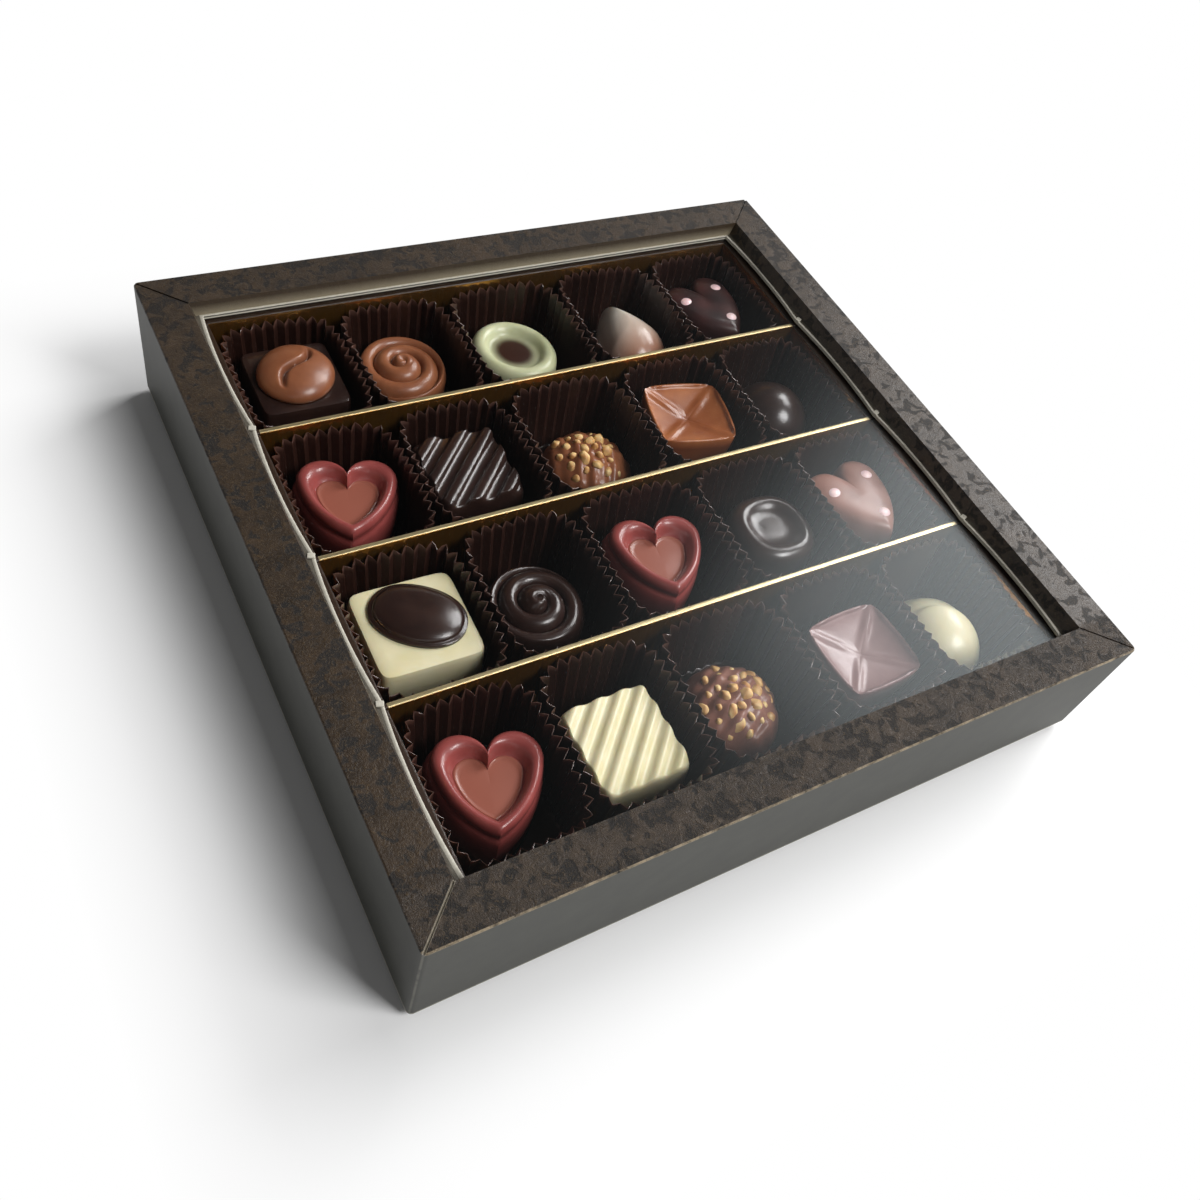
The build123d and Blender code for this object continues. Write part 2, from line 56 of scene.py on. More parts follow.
# %% Colours and scales
def colour(screen):
    """A screen value such as a8977c as red, green, blue and alpha in linear light."""
    steps = [int(screen[start:start + 2], 16) / 255 for start in (0, 2, 4)]
    linear = [step / 12.92 if step <= 0.04045 else ((step + 0.055) / 1.055) ** 2.4 for step in steps]
    return (*linear, 1.0)


def per_mm(size):
    """The scale that makes one cell of a pattern this many millimetres wide."""
    return 1 / (size * MM)


print("mid grey on the screen, 808080, is", round(colour("808080")[0], 3), "in linear light")

# %% [markdown]
# A finish is a small tree of nodes. One helper adds a node, sets it and fills its inputs, and every
# finish below is written out with it, from what the real material is. An input takes a plain value,
# another node's socket, or a node, which then gives its first live output.

# %% Adding a node
def fill(finish, node, inputs):
    for name, value in inputs.items():
        if isinstance(value, bpy.types.Node):
            value = next(output for output in value.outputs if output.enabled)
        if isinstance(value, bpy.types.NodeSocket):
            finish.node_tree.links.new(value, node.inputs[name])
        else:
            node.inputs[name].default_value = value


def add(finish, kind, inputs=None, **settings):
    made = finish.node_tree.nodes.new(kind)
    for name, value in settings.items():
        setattr(made, name, value)
    fill(finish, made, inputs or {})
    return made


def new_finish(name):
    """A new finish, its main shader, and the place of a point on the object."""
    finish = bpy.data.materials.new(name)
    finish.use_nodes = True
    place = add(finish, "ShaderNodeTexCoord").outputs["Object"]
    return finish, finish.node_tree.nodes["Principled BSDF"], place

# %% [markdown]
# Folded card with a leather print. The sheet is board with a dark brown print on it, pressed with a
# fine grain and varnished. To the eye that gives soft brown clouds seven millimetres wide, near
# black flecks of about three, and thin paler hairs, all under a low, broken gloss. Each of them is
# one noise, scaled from its width. A fourth noise is for the places where folds are rubbed.

# %% The lid's print
lid_card, surface, place = new_finish("leather_print_card")
clouds = add(lid_card, "ShaderNodeTexNoise", {
    "Vector": place, "Scale": per_mm(7), "Detail": 5, "Roughness": 0.6})
flecks = add(lid_card, "ShaderNodeTexNoise", {
    "Vector": place, "Scale": per_mm(3.3), "Detail": 1.5, "Roughness": 0.5, "Distortion": 0.7})
hairs = add(lid_card, "ShaderNodeTexNoise", {
    "Vector": place, "Scale": per_mm(0.9), "Detail": 3, "Roughness": 0.6, "Distortion": 2.4})
rubbed = add(lid_card, "ShaderNodeTexNoise", {
    "Vector": place, "Scale": per_mm(3), "Detail": 6, "Roughness": 0.75})
print("the lid's print: 4 noises on", lid_card.name)

# %% [markdown]
# The card isn't the same all over. Its outer walls are plainer and greyer, and the pale board shows
# where a fold has rubbed and where the sheet is cut. Such places are found from what a point
# measures: how far out it lies, how high, which way it faces, and how far it is from the mitre seam
# in the near left corner.

# %% What a point on the lid measures
LID_HALF_X, LID_HALF_Y, LID_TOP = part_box("lid_frame")[1]
SKIRT_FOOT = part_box("lid_frame")[0].z
PANEL_TOP = LID_TOP - 4.2 * MM
spot = add(lid_card, "ShaderNodeSeparateXYZ", {"Vector": place}).outputs
lid_normal = add(lid_card, "ShaderNodeTexCoord").outputs["Normal"]
facing = add(lid_card, "ShaderNodeSeparateXYZ", {"Vector": lid_normal}).outputs
past_seam = add(lid_card, "ShaderNodeMath", {0: spot["X"], 1: spot["Y"]}, operation="SUBTRACT")
past_seam = add(lid_card, "ShaderNodeMath", {0: past_seam, 1: LID_HALF_X - LID_HALF_Y}, operation="ADD")
out_x, out_y, flatness, off_seam = [
    add(lid_card, "ShaderNodeMath", {0: value}, operation="ABSOLUTE")
    for value in (spot["X"], spot["Y"], facing["Z"], past_seam)]
print("lid:", round(2 * LID_HALF_X / MM), "x", round(2 * LID_HALF_Y / MM), "mm, panel at",
      round(PANEL_TOP / MM, 1), "mm")

# %% [markdown]
# A Map Range node turns a measure into a soft step: 0 at the first number and 1 at the second, which
# is the lower one where the step falls. The first list holds patterns and facings, the second holds
# places, in millimetres from a face of the lid.

# %% Soft steps on the lid
masks = {}
for name, value, start, end in (
        ("cloudy", clouds, 0.34, 0.66), ("wall_cloudy", clouds, 0.3, 0.7),
        ("corner_rub", clouds, 0.32, 0.52), ("dark_fleck", flecks, 0.495, 0.425),
        ("hair", hairs, 0.54, 0.66), ("fold_rub", rubbed, 0.34, 0.58),
        ("upright", flatness, 0.45, 0.25), ("cut_upright", flatness, 0.5, 0.3),
        ("rounded", facing["Z"], 0.99, 0.95), ("faces_front", facing["Y"], -0.4, -0.8)):
    masks[name] = add(lid_card, "ShaderNodeMapRange", {"Value": value, "From Min": start, "From Max": end})
for name, value, face, start, end in (
        ("outer_x", out_x, LID_HALF_X, -0.7, -0.5), ("outer_y", out_y, LID_HALF_Y, -0.7, -0.5),
        ("inner_x", out_x, LID_HALF_X, -10.9, -11.1), ("inner_y", out_y, LID_HALF_Y, -10.9, -11.1),
        ("left_rail", spot["X"], -LID_HALF_X, 11.7, 11.3), ("front_rail", spot["Y"], -LID_HALF_Y, 11.7, 11.3),
        ("front_edge", spot["Y"], -LID_HALF_Y, 1.1, 0.9), ("front_grain", spot["Y"], -LID_HALF_Y, 12.5, 10.5),
        ("top", spot["Z"], LID_TOP, -0.67, -0.43), ("seam_top", spot["Z"], LID_TOP, -1.1, -0.9),
        ("lip_height", spot["Z"], PANEL_TOP, 0.5, 0.1), ("low", spot["Z"], PANEL_TOP, 3.1, 0.1),
        ("below_panel", spot["Z"], PANEL_TOP, 0.0, -0.04), ("foot", spot["Z"], SKIRT_FOOT, 0.75, 0.45),
        ("on_seam", off_seam, 0.0, 0.57, 0.33)):
    masks[name] = add(lid_card, "ShaderNodeMapRange", {
        "Value": value, "From Min": face + start * MM, "From Max": face + end * MM})
masks["outside"] = add(lid_card, "ShaderNodeMath", {
    0: masks["outer_x"], 1: masks["outer_y"]}, operation="MAXIMUM")
print("soft steps on the lid:", len(masks))

# %% [markdown]
# Steps multiplied with each other leave only the place where all of them hold. A number at the end
# of a line is how strongly the wear or the print covers there.

# %% Places on the lid
for name, (first, *others) in {
        "outer_wall": ("upright", "outside"),
        "spots": ("dark_fleck", 0.9),
        "thin_hairs": ("hair", 0.6),
        "inside": ("inner_x", "inner_y"),
        "near_left": ("left_rail", "front_rail"),
        "outer_corner": ("outer_x", "outer_y"),
        "front_fold": ("top", "rounded", "front_edge", "fold_rub", 0.8),
        "lip": ("inside", "lip_height"),
        # the back inner wall, which faces the front, takes the painted highlight
        "back_wall_highlight": ("inside", "faces_front", 0.9),
        "cut_edge": ("inside", "below_panel", "cut_upright"),
        "foot_line": ("outside", "foot", 0.7),
        "seam": ("near_left", "on_seam", "seam_top", 0.85),
        "worn_corner": ("near_left", "outer_corner", "corner_rub")}.items():
    masks[name] = masks[first]
    for other in others:
        masks[name] = add(lid_card, "ShaderNodeMath", {
            0: masks[name], 1: masks.get(other, other)}, operation="MULTIPLY")
print("places on the lid:", len(masks))

# %% [markdown]
# The colours are laid over each other in the order of the real sheet: board and print first, then
# what rubbing and cutting laid bare. One layer is light, not sheet: the back inner wall, which faces
# the front, is painted paler towards its foot, a painted highlight.

# %% Colour on the lid
paint = {}
for name, share, under, over in (
        ("print", "cloudy", "261d14", "3b2e21"),
        ("wall", "wall_cloudy", "363631", "3e3e38"),
        # painted highlight: the back inner wall pales towards its foot
        ("back_wall_highlight_paint", "low", "43372a", "958a74"),
        ("card", "spots", "print", "0d0907"),
        ("card", "thin_hairs", "card", "54442f"),
        ("card", "outer_wall", "card", "wall"),
        ("card", "front_fold", "card", "a8977c"),
        ("card", "lip", "card", "575248"),
        ("card", "back_wall_highlight", "card", "back_wall_highlight_paint"),
        ("card", "cut_edge", "card", "cfcabb"),
        ("card", "foot_line", "card", "a9a596"),
        ("card", "seam", "card", "a49b8a"),
        ("card", "worn_corner", "card", "6e6c64")):
    first, second = [paint[tone] if tone in paint else colour(tone) for tone in (under, over)]
    paint[name] = add(lid_card, "ShaderNodeMix", {0: masks[share], 6: first, 7: second}, data_type="RGBA")
fill(lid_card, surface, {"Base Color": paint["card"], "Specular IOR Level": 0.36})
print("the lid's colours:", ", ".join(paint))

# %% [markdown]
# The pressed grain is the flecks and hairs once more, as height. It is deeper on the front rail and
# missing on the outer walls. The varnish is duller on the dark flecks, so the gloss is broken.

# %% Grain and gloss on the lid
GRAIN_DEPTH = 0.5 * MM
off_walls = add(lid_card, "ShaderNodeMath", {0: 1.0, 1: masks["outer_wall"]}, operation="SUBTRACT")
grain_height = add(lid_card, "ShaderNodeMath", {0: flecks, 1: hairs}, operation="ADD")
depth = add(lid_card, "ShaderNodeMath", {
    0: masks["front_grain"], 1: 0.6, 2: 0.3}, operation="MULTIPLY_ADD")
depth = add(lid_card, "ShaderNodeMath", {0: depth, 1: off_walls}, operation="MULTIPLY")
dull = add(lid_card, "ShaderNodeMath", {0: masks["spots"], 1: off_walls}, operation="MULTIPLY")
dull = add(lid_card, "ShaderNodeMath", {0: dull, 1: 0.25, 2: 0.55}, operation="MULTIPLY_ADD")
fill(lid_card, surface, {
    "Normal": add(lid_card, "ShaderNodeBump", {
        "Height": grain_height, "Strength": depth, "Distance": GRAIN_DEPTH}),
    "Roughness": add(lid_card, "ShaderNodeMath", {
        0: off_walls, 1: -0.14, 2: dull}, operation="MULTIPLY_ADD")})
print("the lid's card has", len(lid_card.node_tree.nodes), "nodes")

# %% [markdown]
# The tray is the same board with a plain dark print: dull, with faint fibres. Only its foot shows
# while the lid is on.

# %% The tray's card
tray_card, surface, place = new_finish("dark_tray_card")
fibre = add(tray_card, "ShaderNodeTexNoise", {"Vector": place, "Scale": per_mm(1.6), "Detail": 5})
fill(tray_card, surface, {
    "Base Color": add(tray_card, "ShaderNodeMix", {
        0: fibre, 6: colour("1d1815"), 7: colour("2e2722")}, data_type="RGBA"),
    "Normal": add(tray_card, "ShaderNodeBump", {"Height": fibre, "Strength": 0.2, "Distance": 0.1 * MM}),
    "Roughness": 0.6})
print("made", tray_card.name)

# %% [markdown]
# Gold laminated card: a foil of metallised film on board. The foil lies a little wavy, so its
# reflections swim, and handling leaves it hazy. Its upright walls stand in each other's reflections,
# and that is painted: they are a deeper, browner gold than the tops, a painted reflection. The ledge
# under the lid's panel lies in shade and is painted dark and not metal, a painted shade. A small
# shaded bevel rounds the folds, which are as sharp as knives in the solid.

# %% The insert's gold foil
LEDGE_EDGE, LEDGE_TOP, SOFT = 84.4 * MM, 31.7 * MM, 0.1 * MM
gold_card, surface, place = new_finish("gold_foil_card")
waves = add(gold_card, "ShaderNodeTexNoise", {"Vector": place, "Scale": per_mm(9), "Detail": 2})
rounded_folds = add(gold_card, "ShaderNodeBevel", {"Radius": 0.7 * MM}, samples=6)
gold_normal = add(gold_card, "ShaderNodeTexCoord").outputs["Normal"]
gold_facing = add(gold_card, "ShaderNodeSeparateXYZ", {"Vector": gold_normal}).outputs
gold_spot = add(gold_card, "ShaderNodeSeparateXYZ", {"Vector": place}).outputs
gold_steps = []
for value, start, end in (
        (gold_facing["Z"], 0.6, 0.4),
        (gold_spot["X"], LEDGE_EDGE - SOFT, LEDGE_EDGE + SOFT),
        (gold_spot["Y"], LEDGE_EDGE - SOFT, LEDGE_EDGE + SOFT)):
    measure = add(gold_card, "ShaderNodeMath", {0: value}, operation="ABSOLUTE")
    gold_steps.append(add(gold_card, "ShaderNodeMapRange", {
        "Value": measure, "From Min": start, "From Max": end}))
upright, past_x, past_y = gold_steps
high_up = add(gold_card, "ShaderNodeMapRange", {
    "Value": gold_spot["Z"], "From Min": LEDGE_TOP - SOFT, "From Max": LEDGE_TOP + SOFT})
# painted shade: the ledge under the lid's panel is painted dark brown and not metal
shaded_ledge = add(gold_card, "ShaderNodeMath", {0: past_x, 1: past_y}, operation="MAXIMUM")
shaded_ledge = add(gold_card, "ShaderNodeMath", {0: shaded_ledge, 1: high_up}, operation="MULTIPLY")
# painted reflection: the upright walls are a browner gold than the tops
tone = add(gold_card, "ShaderNodeMix", {
    0: upright, 6: colour("dcc99a"), 7: colour("b07c38")}, data_type="RGBA")
fill(gold_card, surface, {
    "Base Color": add(gold_card, "ShaderNodeMix", {0: shaded_ledge, 6: tone, 7: colour("33241a")}, data_type="RGBA"),
    "Normal": add(gold_card, "ShaderNodeBump", {
        "Height": waves, "Strength": 0.25, "Distance": 0.6 * MM, "Normal": rounded_folds}),
    "Roughness": add(gold_card, "ShaderNodeMath", {0: upright, 1: -0.12, 2: 0.34}, operation="MULTIPLY_ADD"),
    "Metallic": add(gold_card, "ShaderNodeMath", {0: shaded_ledge, 1: -0.9, 2: 0.9}, operation="MULTIPLY_ADD")})
print("made", gold_card.name)

# %% [markdown]
# The window is clear film, a cast polyester sheet. It lets the sweets show and throws back a thin
# pale veil of a bright lamp, stronger where the sheet is seen at a slant. The veil is a bright
# mirror that is almost clear: Layer Weight gives how slanted the view is, and its fifth power how
# much of the mirror is there.

# %% The clear film
clear_film, surface, place = new_finish("clear_polyester_film")
slant = add(clear_film, "ShaderNodeLayerWeight", {"Blend": 0.5}).outputs["Facing"]
steep = add(clear_film, "ShaderNodeMath", {0: slant, 1: 5.0}, operation="POWER")
ripple = add(clear_film, "ShaderNodeTexNoise", {"Vector": place, "Scale": per_mm(60), "Detail": 1})
fill(clear_film, surface, {
    "Base Color": colour("dee6e8"), "Metallic": 1.0, "Roughness": 0.25,
    "Alpha": add(clear_film, "ShaderNodeMath", {0: steep, 1: 0.6, 2: 0.0125}, operation="MULTIPLY_ADD"),
    "Normal": add(clear_film, "ShaderNodeBump", {"Height": ripple, "Strength": 0.15, "Distance": 1.0 * MM})})
print("made", clear_film.name)

# %% [markdown]
# Crimped cups are glassine, a dense dark brown paper with a slight gloss, which catches the light
# along its pleats. The rim, where the cut edge catches the light, is painted paler: a painted
# highlight. Its real fibres are too fine to show, so they are drawn 1.2 millimetres wide.

# %% The cups' paper
CUP_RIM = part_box("paper_cup_r4c1")[1].z
cup_paper, surface, place = new_finish("dark_glassine_paper")
fibres = add(cup_paper, "ShaderNodeTexNoise", {"Vector": place, "Scale": per_mm(1.2), "Detail": 4})
cup_height = add(cup_paper, "ShaderNodeSeparateXYZ", {"Vector": place}).outputs["Z"]
# painted highlight: the top two millimetres pale where the cut rim catches the light
rim_highlight = add(cup_paper, "ShaderNodeMapRange", {
    "Value": cup_height, "From Min": CUP_RIM - 2.1 * MM, "From Max": CUP_RIM - 0.3 * MM})
rim_highlight = add(cup_paper, "ShaderNodeMath", {0: rim_highlight, 1: 0.6}, operation="MULTIPLY")
cup_tone = add(cup_paper, "ShaderNodeMix", {
    0: fibres, 6: colour("24130e"), 7: colour("38211a")}, data_type="RGBA")
fill(cup_paper, surface, {
    "Base Color": add(cup_paper, "ShaderNodeMix", {
        0: rim_highlight, 6: cup_tone, 7: colour("694c42")}, data_type="RGBA"),
    "Normal": add(cup_paper, "ShaderNodeBump", {"Height": fibres, "Strength": 0.1, "Distance": 0.05 * MM}),
    "Roughness": 0.3, "Specular IOR Level": 0.5})
print("made", cup_paper.name)

# %% [markdown]
# Moulded chocolate is cocoa butter that set against a polished mould: smooth, with a soft gloss and
# faint clouds where the butter cooled unevenly. A second colour, where there is one, is on the
# piece as an attribute. On some pieces it is their own colour, brushed or sprayed into the mould or
# a filling; on others it is painted shade or a painted highlight, as said where each piece is made.

# %% Chocolate
SECOND_TONE_AND_PAINTED_LIGHT = "second_tone_and_painted_light"


def chocolate(name, main, cloud, second=None, roughness=0.3, coat=0.25, soft=0.0):
    finish, surface, place = new_finish(name)
    bloom = add(finish, "ShaderNodeTexNoise", {
        "Vector": place, "Scale": per_mm(6), "Detail": 4, "Roughness": 0.6})
    bloom = add(finish, "ShaderNodeMapRange", {"Value": bloom, "From Min": 0.3, "From Max": 0.7})
    shade = add(finish, "ShaderNodeMix", {0: bloom, 6: colour(main), 7: colour(cloud)}, data_type="RGBA")
    if second:
        second_tone_and_painted_light = add(finish, "ShaderNodeAttribute", attribute_name=SECOND_TONE_AND_PAINTED_LIGHT).outputs["Fac"]
        shade = add(finish, "ShaderNodeMix", {0: second_tone_and_painted_light, 6: shade, 7: colour(second)}, data_type="RGBA")
    skin = add(finish, "ShaderNodeTexNoise", {"Vector": place, "Scale": per_mm(1.8), "Detail": 3})
    fill(finish, surface, {
        "Base Color": shade, "Roughness": roughness, "Specular IOR Level": 0.36,
        "Normal": add(finish, "ShaderNodeBump", {"Height": skin, "Strength": 0.08, "Distance": 0.15 * MM}),
        "Coat Weight": coat, "Coat Roughness": 0.2, "Subsurface Weight": soft,
        "Subsurface Radius": (2.0, 1.2, 0.7), "Subsurface Scale": MM})
    return finish


# Dark: nearly black with a tight highlight. Milk: a warm mid brown, with a darker second colour that is
# painted shade. White: ivory, a little see-through, with a golden second colour that is painted shade.
dark = chocolate("dark_chocolate", "241613", "33211b", roughness=0.3, coat=0.5)
milk = chocolate("milk_chocolate", "7e4a30", "945d3e", second="5e3422", roughness=0.36, soft=0.1)
white = chocolate("white_chocolate", "d9d0a4", "e2dab8", second="cf9a3a", roughness=0.34, soft=0.25)
# Sprayed and dusted in the mould: a red with a satin shine, a copper and a mauve with a fine lustre.
ruby = chocolate("ruby_sprayed_chocolate", "873e3b", "994b47", second="945646", roughness=0.34, coat=0.45)
# The copper's darker second colour is painted shade in its scoops, the mauve's paler one a painted highlight.
copper = chocolate("copper_dusted_chocolate", "8f4f2a", "a8663a", second="6a341d", roughness=0.3)
mauve = chocolate("mauve_milk_chocolate", "745351", "846361", second="8f7472", roughness=0.32)
# Coloured cocoa butter: pale green round a dark filling, and cream that runs into milk chocolate.
pistachio = chocolate("pistachio_chocolate", "b9bd94", "cdcfab", second="33190f", roughness=0.36, soft=0.15)
marbled = chocolate("marbled_chocolate", "d2c8ba", "e2dacd", second="8f5230", roughness=0.26, soft=0.1)
# Tinted shells: duller, in a rosy and in a plum brown, and a pale pink for the piped dots.
blush = chocolate("blush_milk_chocolate", "7b5042", "8c5f50", second="986c60", roughness=0.4, soft=0.1)
plum = chocolate("plum_dark_chocolate", "351b19", "472624", second="241312", roughness=0.36)
pink = chocolate("pink_chocolate", "e6bcbf", "f2d5d4", roughness=0.35, soft=0.2)
# Roasted nuts: no shine, pale where they broke and darker on the skin.
roasted_nut = chocolate("roasted_nuts", "dcb070", "f2d69c", second="b07c44",
                        roughness=0.5, coat=0.0, soft=0.15)
print("finishes:", len(bpy.data.materials))

# %% [markdown]
# The solids that keep their meshes get their finishes now.

# %% Finishes on the card, the film and the foil
kept_solids = {"lid_frame": lid_card, "window_film": clear_film, "base_tray": tray_card,
               "tray_insert": gold_card, "divider_back": gold_card, "divider_middle": gold_card,
               "divider_front": gold_card}
for node, finish in kept_solids.items():
    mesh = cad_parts[node].data
    mesh.materials.clear()
    mesh.materials.append(finish)
print("solids with a finish:", len(kept_solids))

# %% [markdown]
# Every sweet starts as a flat disc whose corners are drawn onto the mould's outline. An operator
# acts on all that is selected, so each piece is picked alone before it is worked on.

# %% Picking a piece and drawing a disc
def nothing_selected():
    if bpy.context.mode != "OBJECT":
        bpy.ops.object.mode_set(mode="OBJECT")
    bpy.ops.object.select_all(action="DESELECT")


def pick(piece):
    nothing_selected()
    piece.select_set(True)
    bpy.context.view_layer.objects.active = piece


def drawn_disc(name, outline):
    """A disc primitive with its corners moved onto an outline in millimetres, left in edit mode."""
    nothing_selected()
    bpy.ops.mesh.primitive_circle_add(vertices=len(outline), radius=MM, fill_type="NGON")
    piece = bpy.context.object
    piece.name = name
    for corner, (across, along) in zip(piece.data.vertices, outline):
        corner.co = (across * MM, along * MM, 0)
    bpy.ops.object.mode_set(mode="EDIT")
    bpy.ops.mesh.select_all(action="SELECT")
    return piece

# %% [markdown]
# The disc is extruded and scaled layer by layer, up the side and over the rim, and then ring by ring
# to its middle, where the last ring is merged into one point. Working in edit mode with the same few
# operators keeps the rings even, and an even mesh takes relief and smoothing well.

# %% Layers of a moulded piece
SIDE_WEIGHT = 12  # millimetres that a full change of size counts for along a layer curve


def through(layers, count):
    """More layers on a smooth curve through the given ones, evenly spaced along it."""
    reached = [0.0]
    for (low, inner), (high, outer) in zip(layers, layers[1:]):
        reached.append(reached[-1] + hypot(high - low, SIDE_WEIGHT * (outer - inner)))

    def slope(index, axis):
        before, after = max(index - 1, 0), min(index + 1, len(layers) - 1)
        return (layers[after][axis] - layers[before][axis]) / (reached[after] - reached[before])

    curve, index = [], 0
    for step in range(count + 1):
        place = reached[-1] * step / count
        while index < len(layers) - 2 and place > reached[index + 1]:
            index += 1
        span = reached[index + 1] - reached[index]
        share = (place - reached[index]) / span
        rise, fall = share * share * (3 - 2 * share), share * (1 - share)
        curve.append(tuple(
            layers[index][axis] * (1 - rise) + layers[index + 1][axis] * rise
            + span * fall * ((1 - share) * slope(index, axis) - share * slope(index + 1, axis))
            for axis in (0, 1)))
    return curve


def raise_layers(layers, centre=0.0):
    """Extrudes the selection through (height in mm, size against the outline), one ring a layer."""
    last_height, last_size = 0, 1
    for height, size in layers:
        rise, ratio = (height - last_height) * MM, size / last_size
        bpy.ops.mesh.extrude_region_move(TRANSFORM_OT_translate={"value": (0, 0, rise)})
        bpy.ops.transform.resize(value=(ratio, ratio, 1), center_override=(0, centre * MM, 0))
        last_height, last_size = height, size


def close_mould():
    """Merges the last ring into one point, turns the faces outwards and leaves edit mode."""
    bpy.ops.mesh.merge(type="CENTER")
    bpy.ops.mesh.select_all(action="SELECT")
    bpy.ops.mesh.normals_make_consistent(inside=False)
    bpy.ops.object.mode_set(mode="OBJECT")

# %% [markdown]
# A closed piece can be pressed with a relief, smoothed, and given its second colour corner by
# corner. A finished shape that is needed again is copied, and each copy has a mesh of its own.

# %% Relief, smoothing, tint and copies
def press(piece, relief):
    """Moves each corner to the height that the relief gives it, in millimetres."""
    for corner in piece.data.vertices:
        across, along, height = (value / MM for value in corner.co)
        corner.co.z = relief(across, along, height) * MM


def smooth(piece, sharpest=50):
    """Shades the piece smooth, but for edges sharper than this many degrees."""
    pick(piece)
    bpy.ops.object.shade_smooth_by_angle(angle=radians(sharpest))


def apply(piece, kind, **settings):
    bpy.context.view_layer.objects.active = piece
    modifier = piece.modifiers.new(kind.lower(), kind)
    for name, value in settings.items():
        setattr(modifier, name, value)
    bpy.ops.object.modifier_apply(modifier=modifier.name)


def colour_by(piece, share):
    """Writes how much of the second colour each corner has, from 0 to 1: an own colour on some pieces,
    painted shade or a painted highlight on others.
    """
    second_tone_and_painted_light = piece.data.attributes.new(SECOND_TONE_AND_PAINTED_LIGHT, "FLOAT", "POINT")
    for corner, value in zip(piece.data.vertices, second_tone_and_painted_light.data):
        value.value = min(1, max(0, share(*(side / MM for side in corner.co))))


def with_copies(piece, names):
    """The piece under the first name and a copy of it under each of the others."""
    made = [piece]
    for _ in names[1:]:
        pick(piece)
        bpy.ops.object.duplicate()
        made.append(bpy.context.object)
    for each, name in zip(made, names):
        each.name = name
    return made

# %% [markdown]
# A finished sweet is turned as it lies in its cup and moved until it stands where its plain solid
# stands: the same middle in plan and the same foot. What belongs to it, such as its nuts, takes the
# same turn and the same move.

# %% Seating a piece
def set_in_mesh(piece):
    pick(piece)
    bpy.ops.object.transform_apply(location=True, rotation=True, scale=True)


def companion(piece, finish, moved, turn):
    """Turns and moves a piece of the base, gives it its finish and hangs it under the base's body."""
    piece.rotation_euler.z = radians(turn)
    set_in_mesh(piece)
    piece.location = moved
    set_in_mesh(piece)
    piece.data.materials.clear()
    piece.data.materials.append(finish)
    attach(piece, "base")


def seat(piece, node, finish, turn=0):
    """Seats a piece in the place of its plain solid and gives back how far it was moved."""
    piece.rotation_euler.z = radians(turn)
    set_in_mesh(piece)
    low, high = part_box(node)
    corners = [corner.co for corner in piece.data.vertices]
    middle_x = (min(c.x for c in corners) + max(c.x for c in corners)) / 2
    middle_y = (min(c.y for c in corners) + max(c.y for c in corners)) / 2
    foot = min(c.z for c in corners)
    moved = Vector(((low.x + high.x) / 2 - middle_x, (low.y + high.y) / 2 - middle_y, low.z - foot))
    companion(piece, finish, moved, 0)
    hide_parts(node)
    return moved


print("sweets and cups to make:", sum(node.startswith(("sweet_", "paper_cup_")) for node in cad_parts))

# %% [markdown]
# A heart or a flame is drawn as its left half, from arcs that each pass through three points, and
# then mirrored. Equal steps along the line keep the faces of the finished piece even.

# %% Outlines from arcs
def arc_points(start, middle, end, count):
    """Points on the circle through three points, from the start up to but without the end."""
    (ax, ay), (bx, by), (cx, cy) = start, middle, end
    divisor = 2 * (ax * (by - cy) + bx * (cy - ay) + cx * (ay - by))
    a2, b2, c2 = ax * ax + ay * ay, bx * bx + by * by, cx * cx + cy * cy
    centre_x = (a2 * (by - cy) + b2 * (cy - ay) + c2 * (ay - by)) / divisor
    centre_y = (a2 * (cx - bx) + b2 * (ax - cx) + c2 * (bx - ax)) / divisor
    radius = hypot(ax - centre_x, ay - centre_y)
    angles = [atan2(y - centre_y, x - centre_x) for x, y in (start, middle, end)]
    sweep = (angles[2] - angles[0]) % (2 * pi)
    if (angles[1] - angles[0]) % (2 * pi) > sweep:
        sweep -= 2 * pi
    return [
        (centre_x + radius * cos(angles[0] + sweep * step / count),
         centre_y + radius * sin(angles[0] + sweep * step / count))
        for step in range(count)
    ]


def evenly(points, count):
    """The same line with this many equal steps; a closed line ends where it starts."""
    reached = [0.0]
    for start, end in zip(points, points[1:]):
        reached.append(reached[-1] + hypot(end[0] - start[0], end[1] - start[1]))
    spaced, index = [], 0
    for step in range(count + 1):
        place = reached[-1] * step / count
        while index < len(points) - 2 and place > reached[index + 1]:
            index += 1
        share = (place - reached[index]) / (reached[index + 1] - reached[index])
        spaced.append(tuple(
            points[index][axis] * (1 - share) + points[index + 1][axis] * share for axis in (0, 1)))
    return spaced


def from_half(width, length, turning_points, count=96):
    """A closed outline from its left half: five points from the top to the bottom, as shares."""
    start, side, flank, lower_side, end = [(x * width, y * length) for x, y in turning_points]
    half = arc_points(start, side, flank, 40) + arc_points(flank, lower_side, end, 40) + [end]
    half = evenly(half, count // 2)
    return half + [(-across, along) for across, along in reversed(half[1:-1])]


def heart_outline(width, length):
    return from_half(width, length, [(0, 0.31), (-0.25, 0.5), (-0.5, 0.2), (-0.33, -0.21), (0, -0.5)])


print("corners round a heart:", len(heart_outline(27.8, 27.6)))

# %% [markdown]
# The ruby hearts are the box's favourites. A thick rounded rim runs round the outline, as if a rope
# of chocolate lay on the body, and inside it a smaller heart is sunk with a clean step. The sunk
# floor was left unsprayed, so it shows the milk chocolate of the shell. The three hearts come from
# one mould, so one is modelled and copied twice.

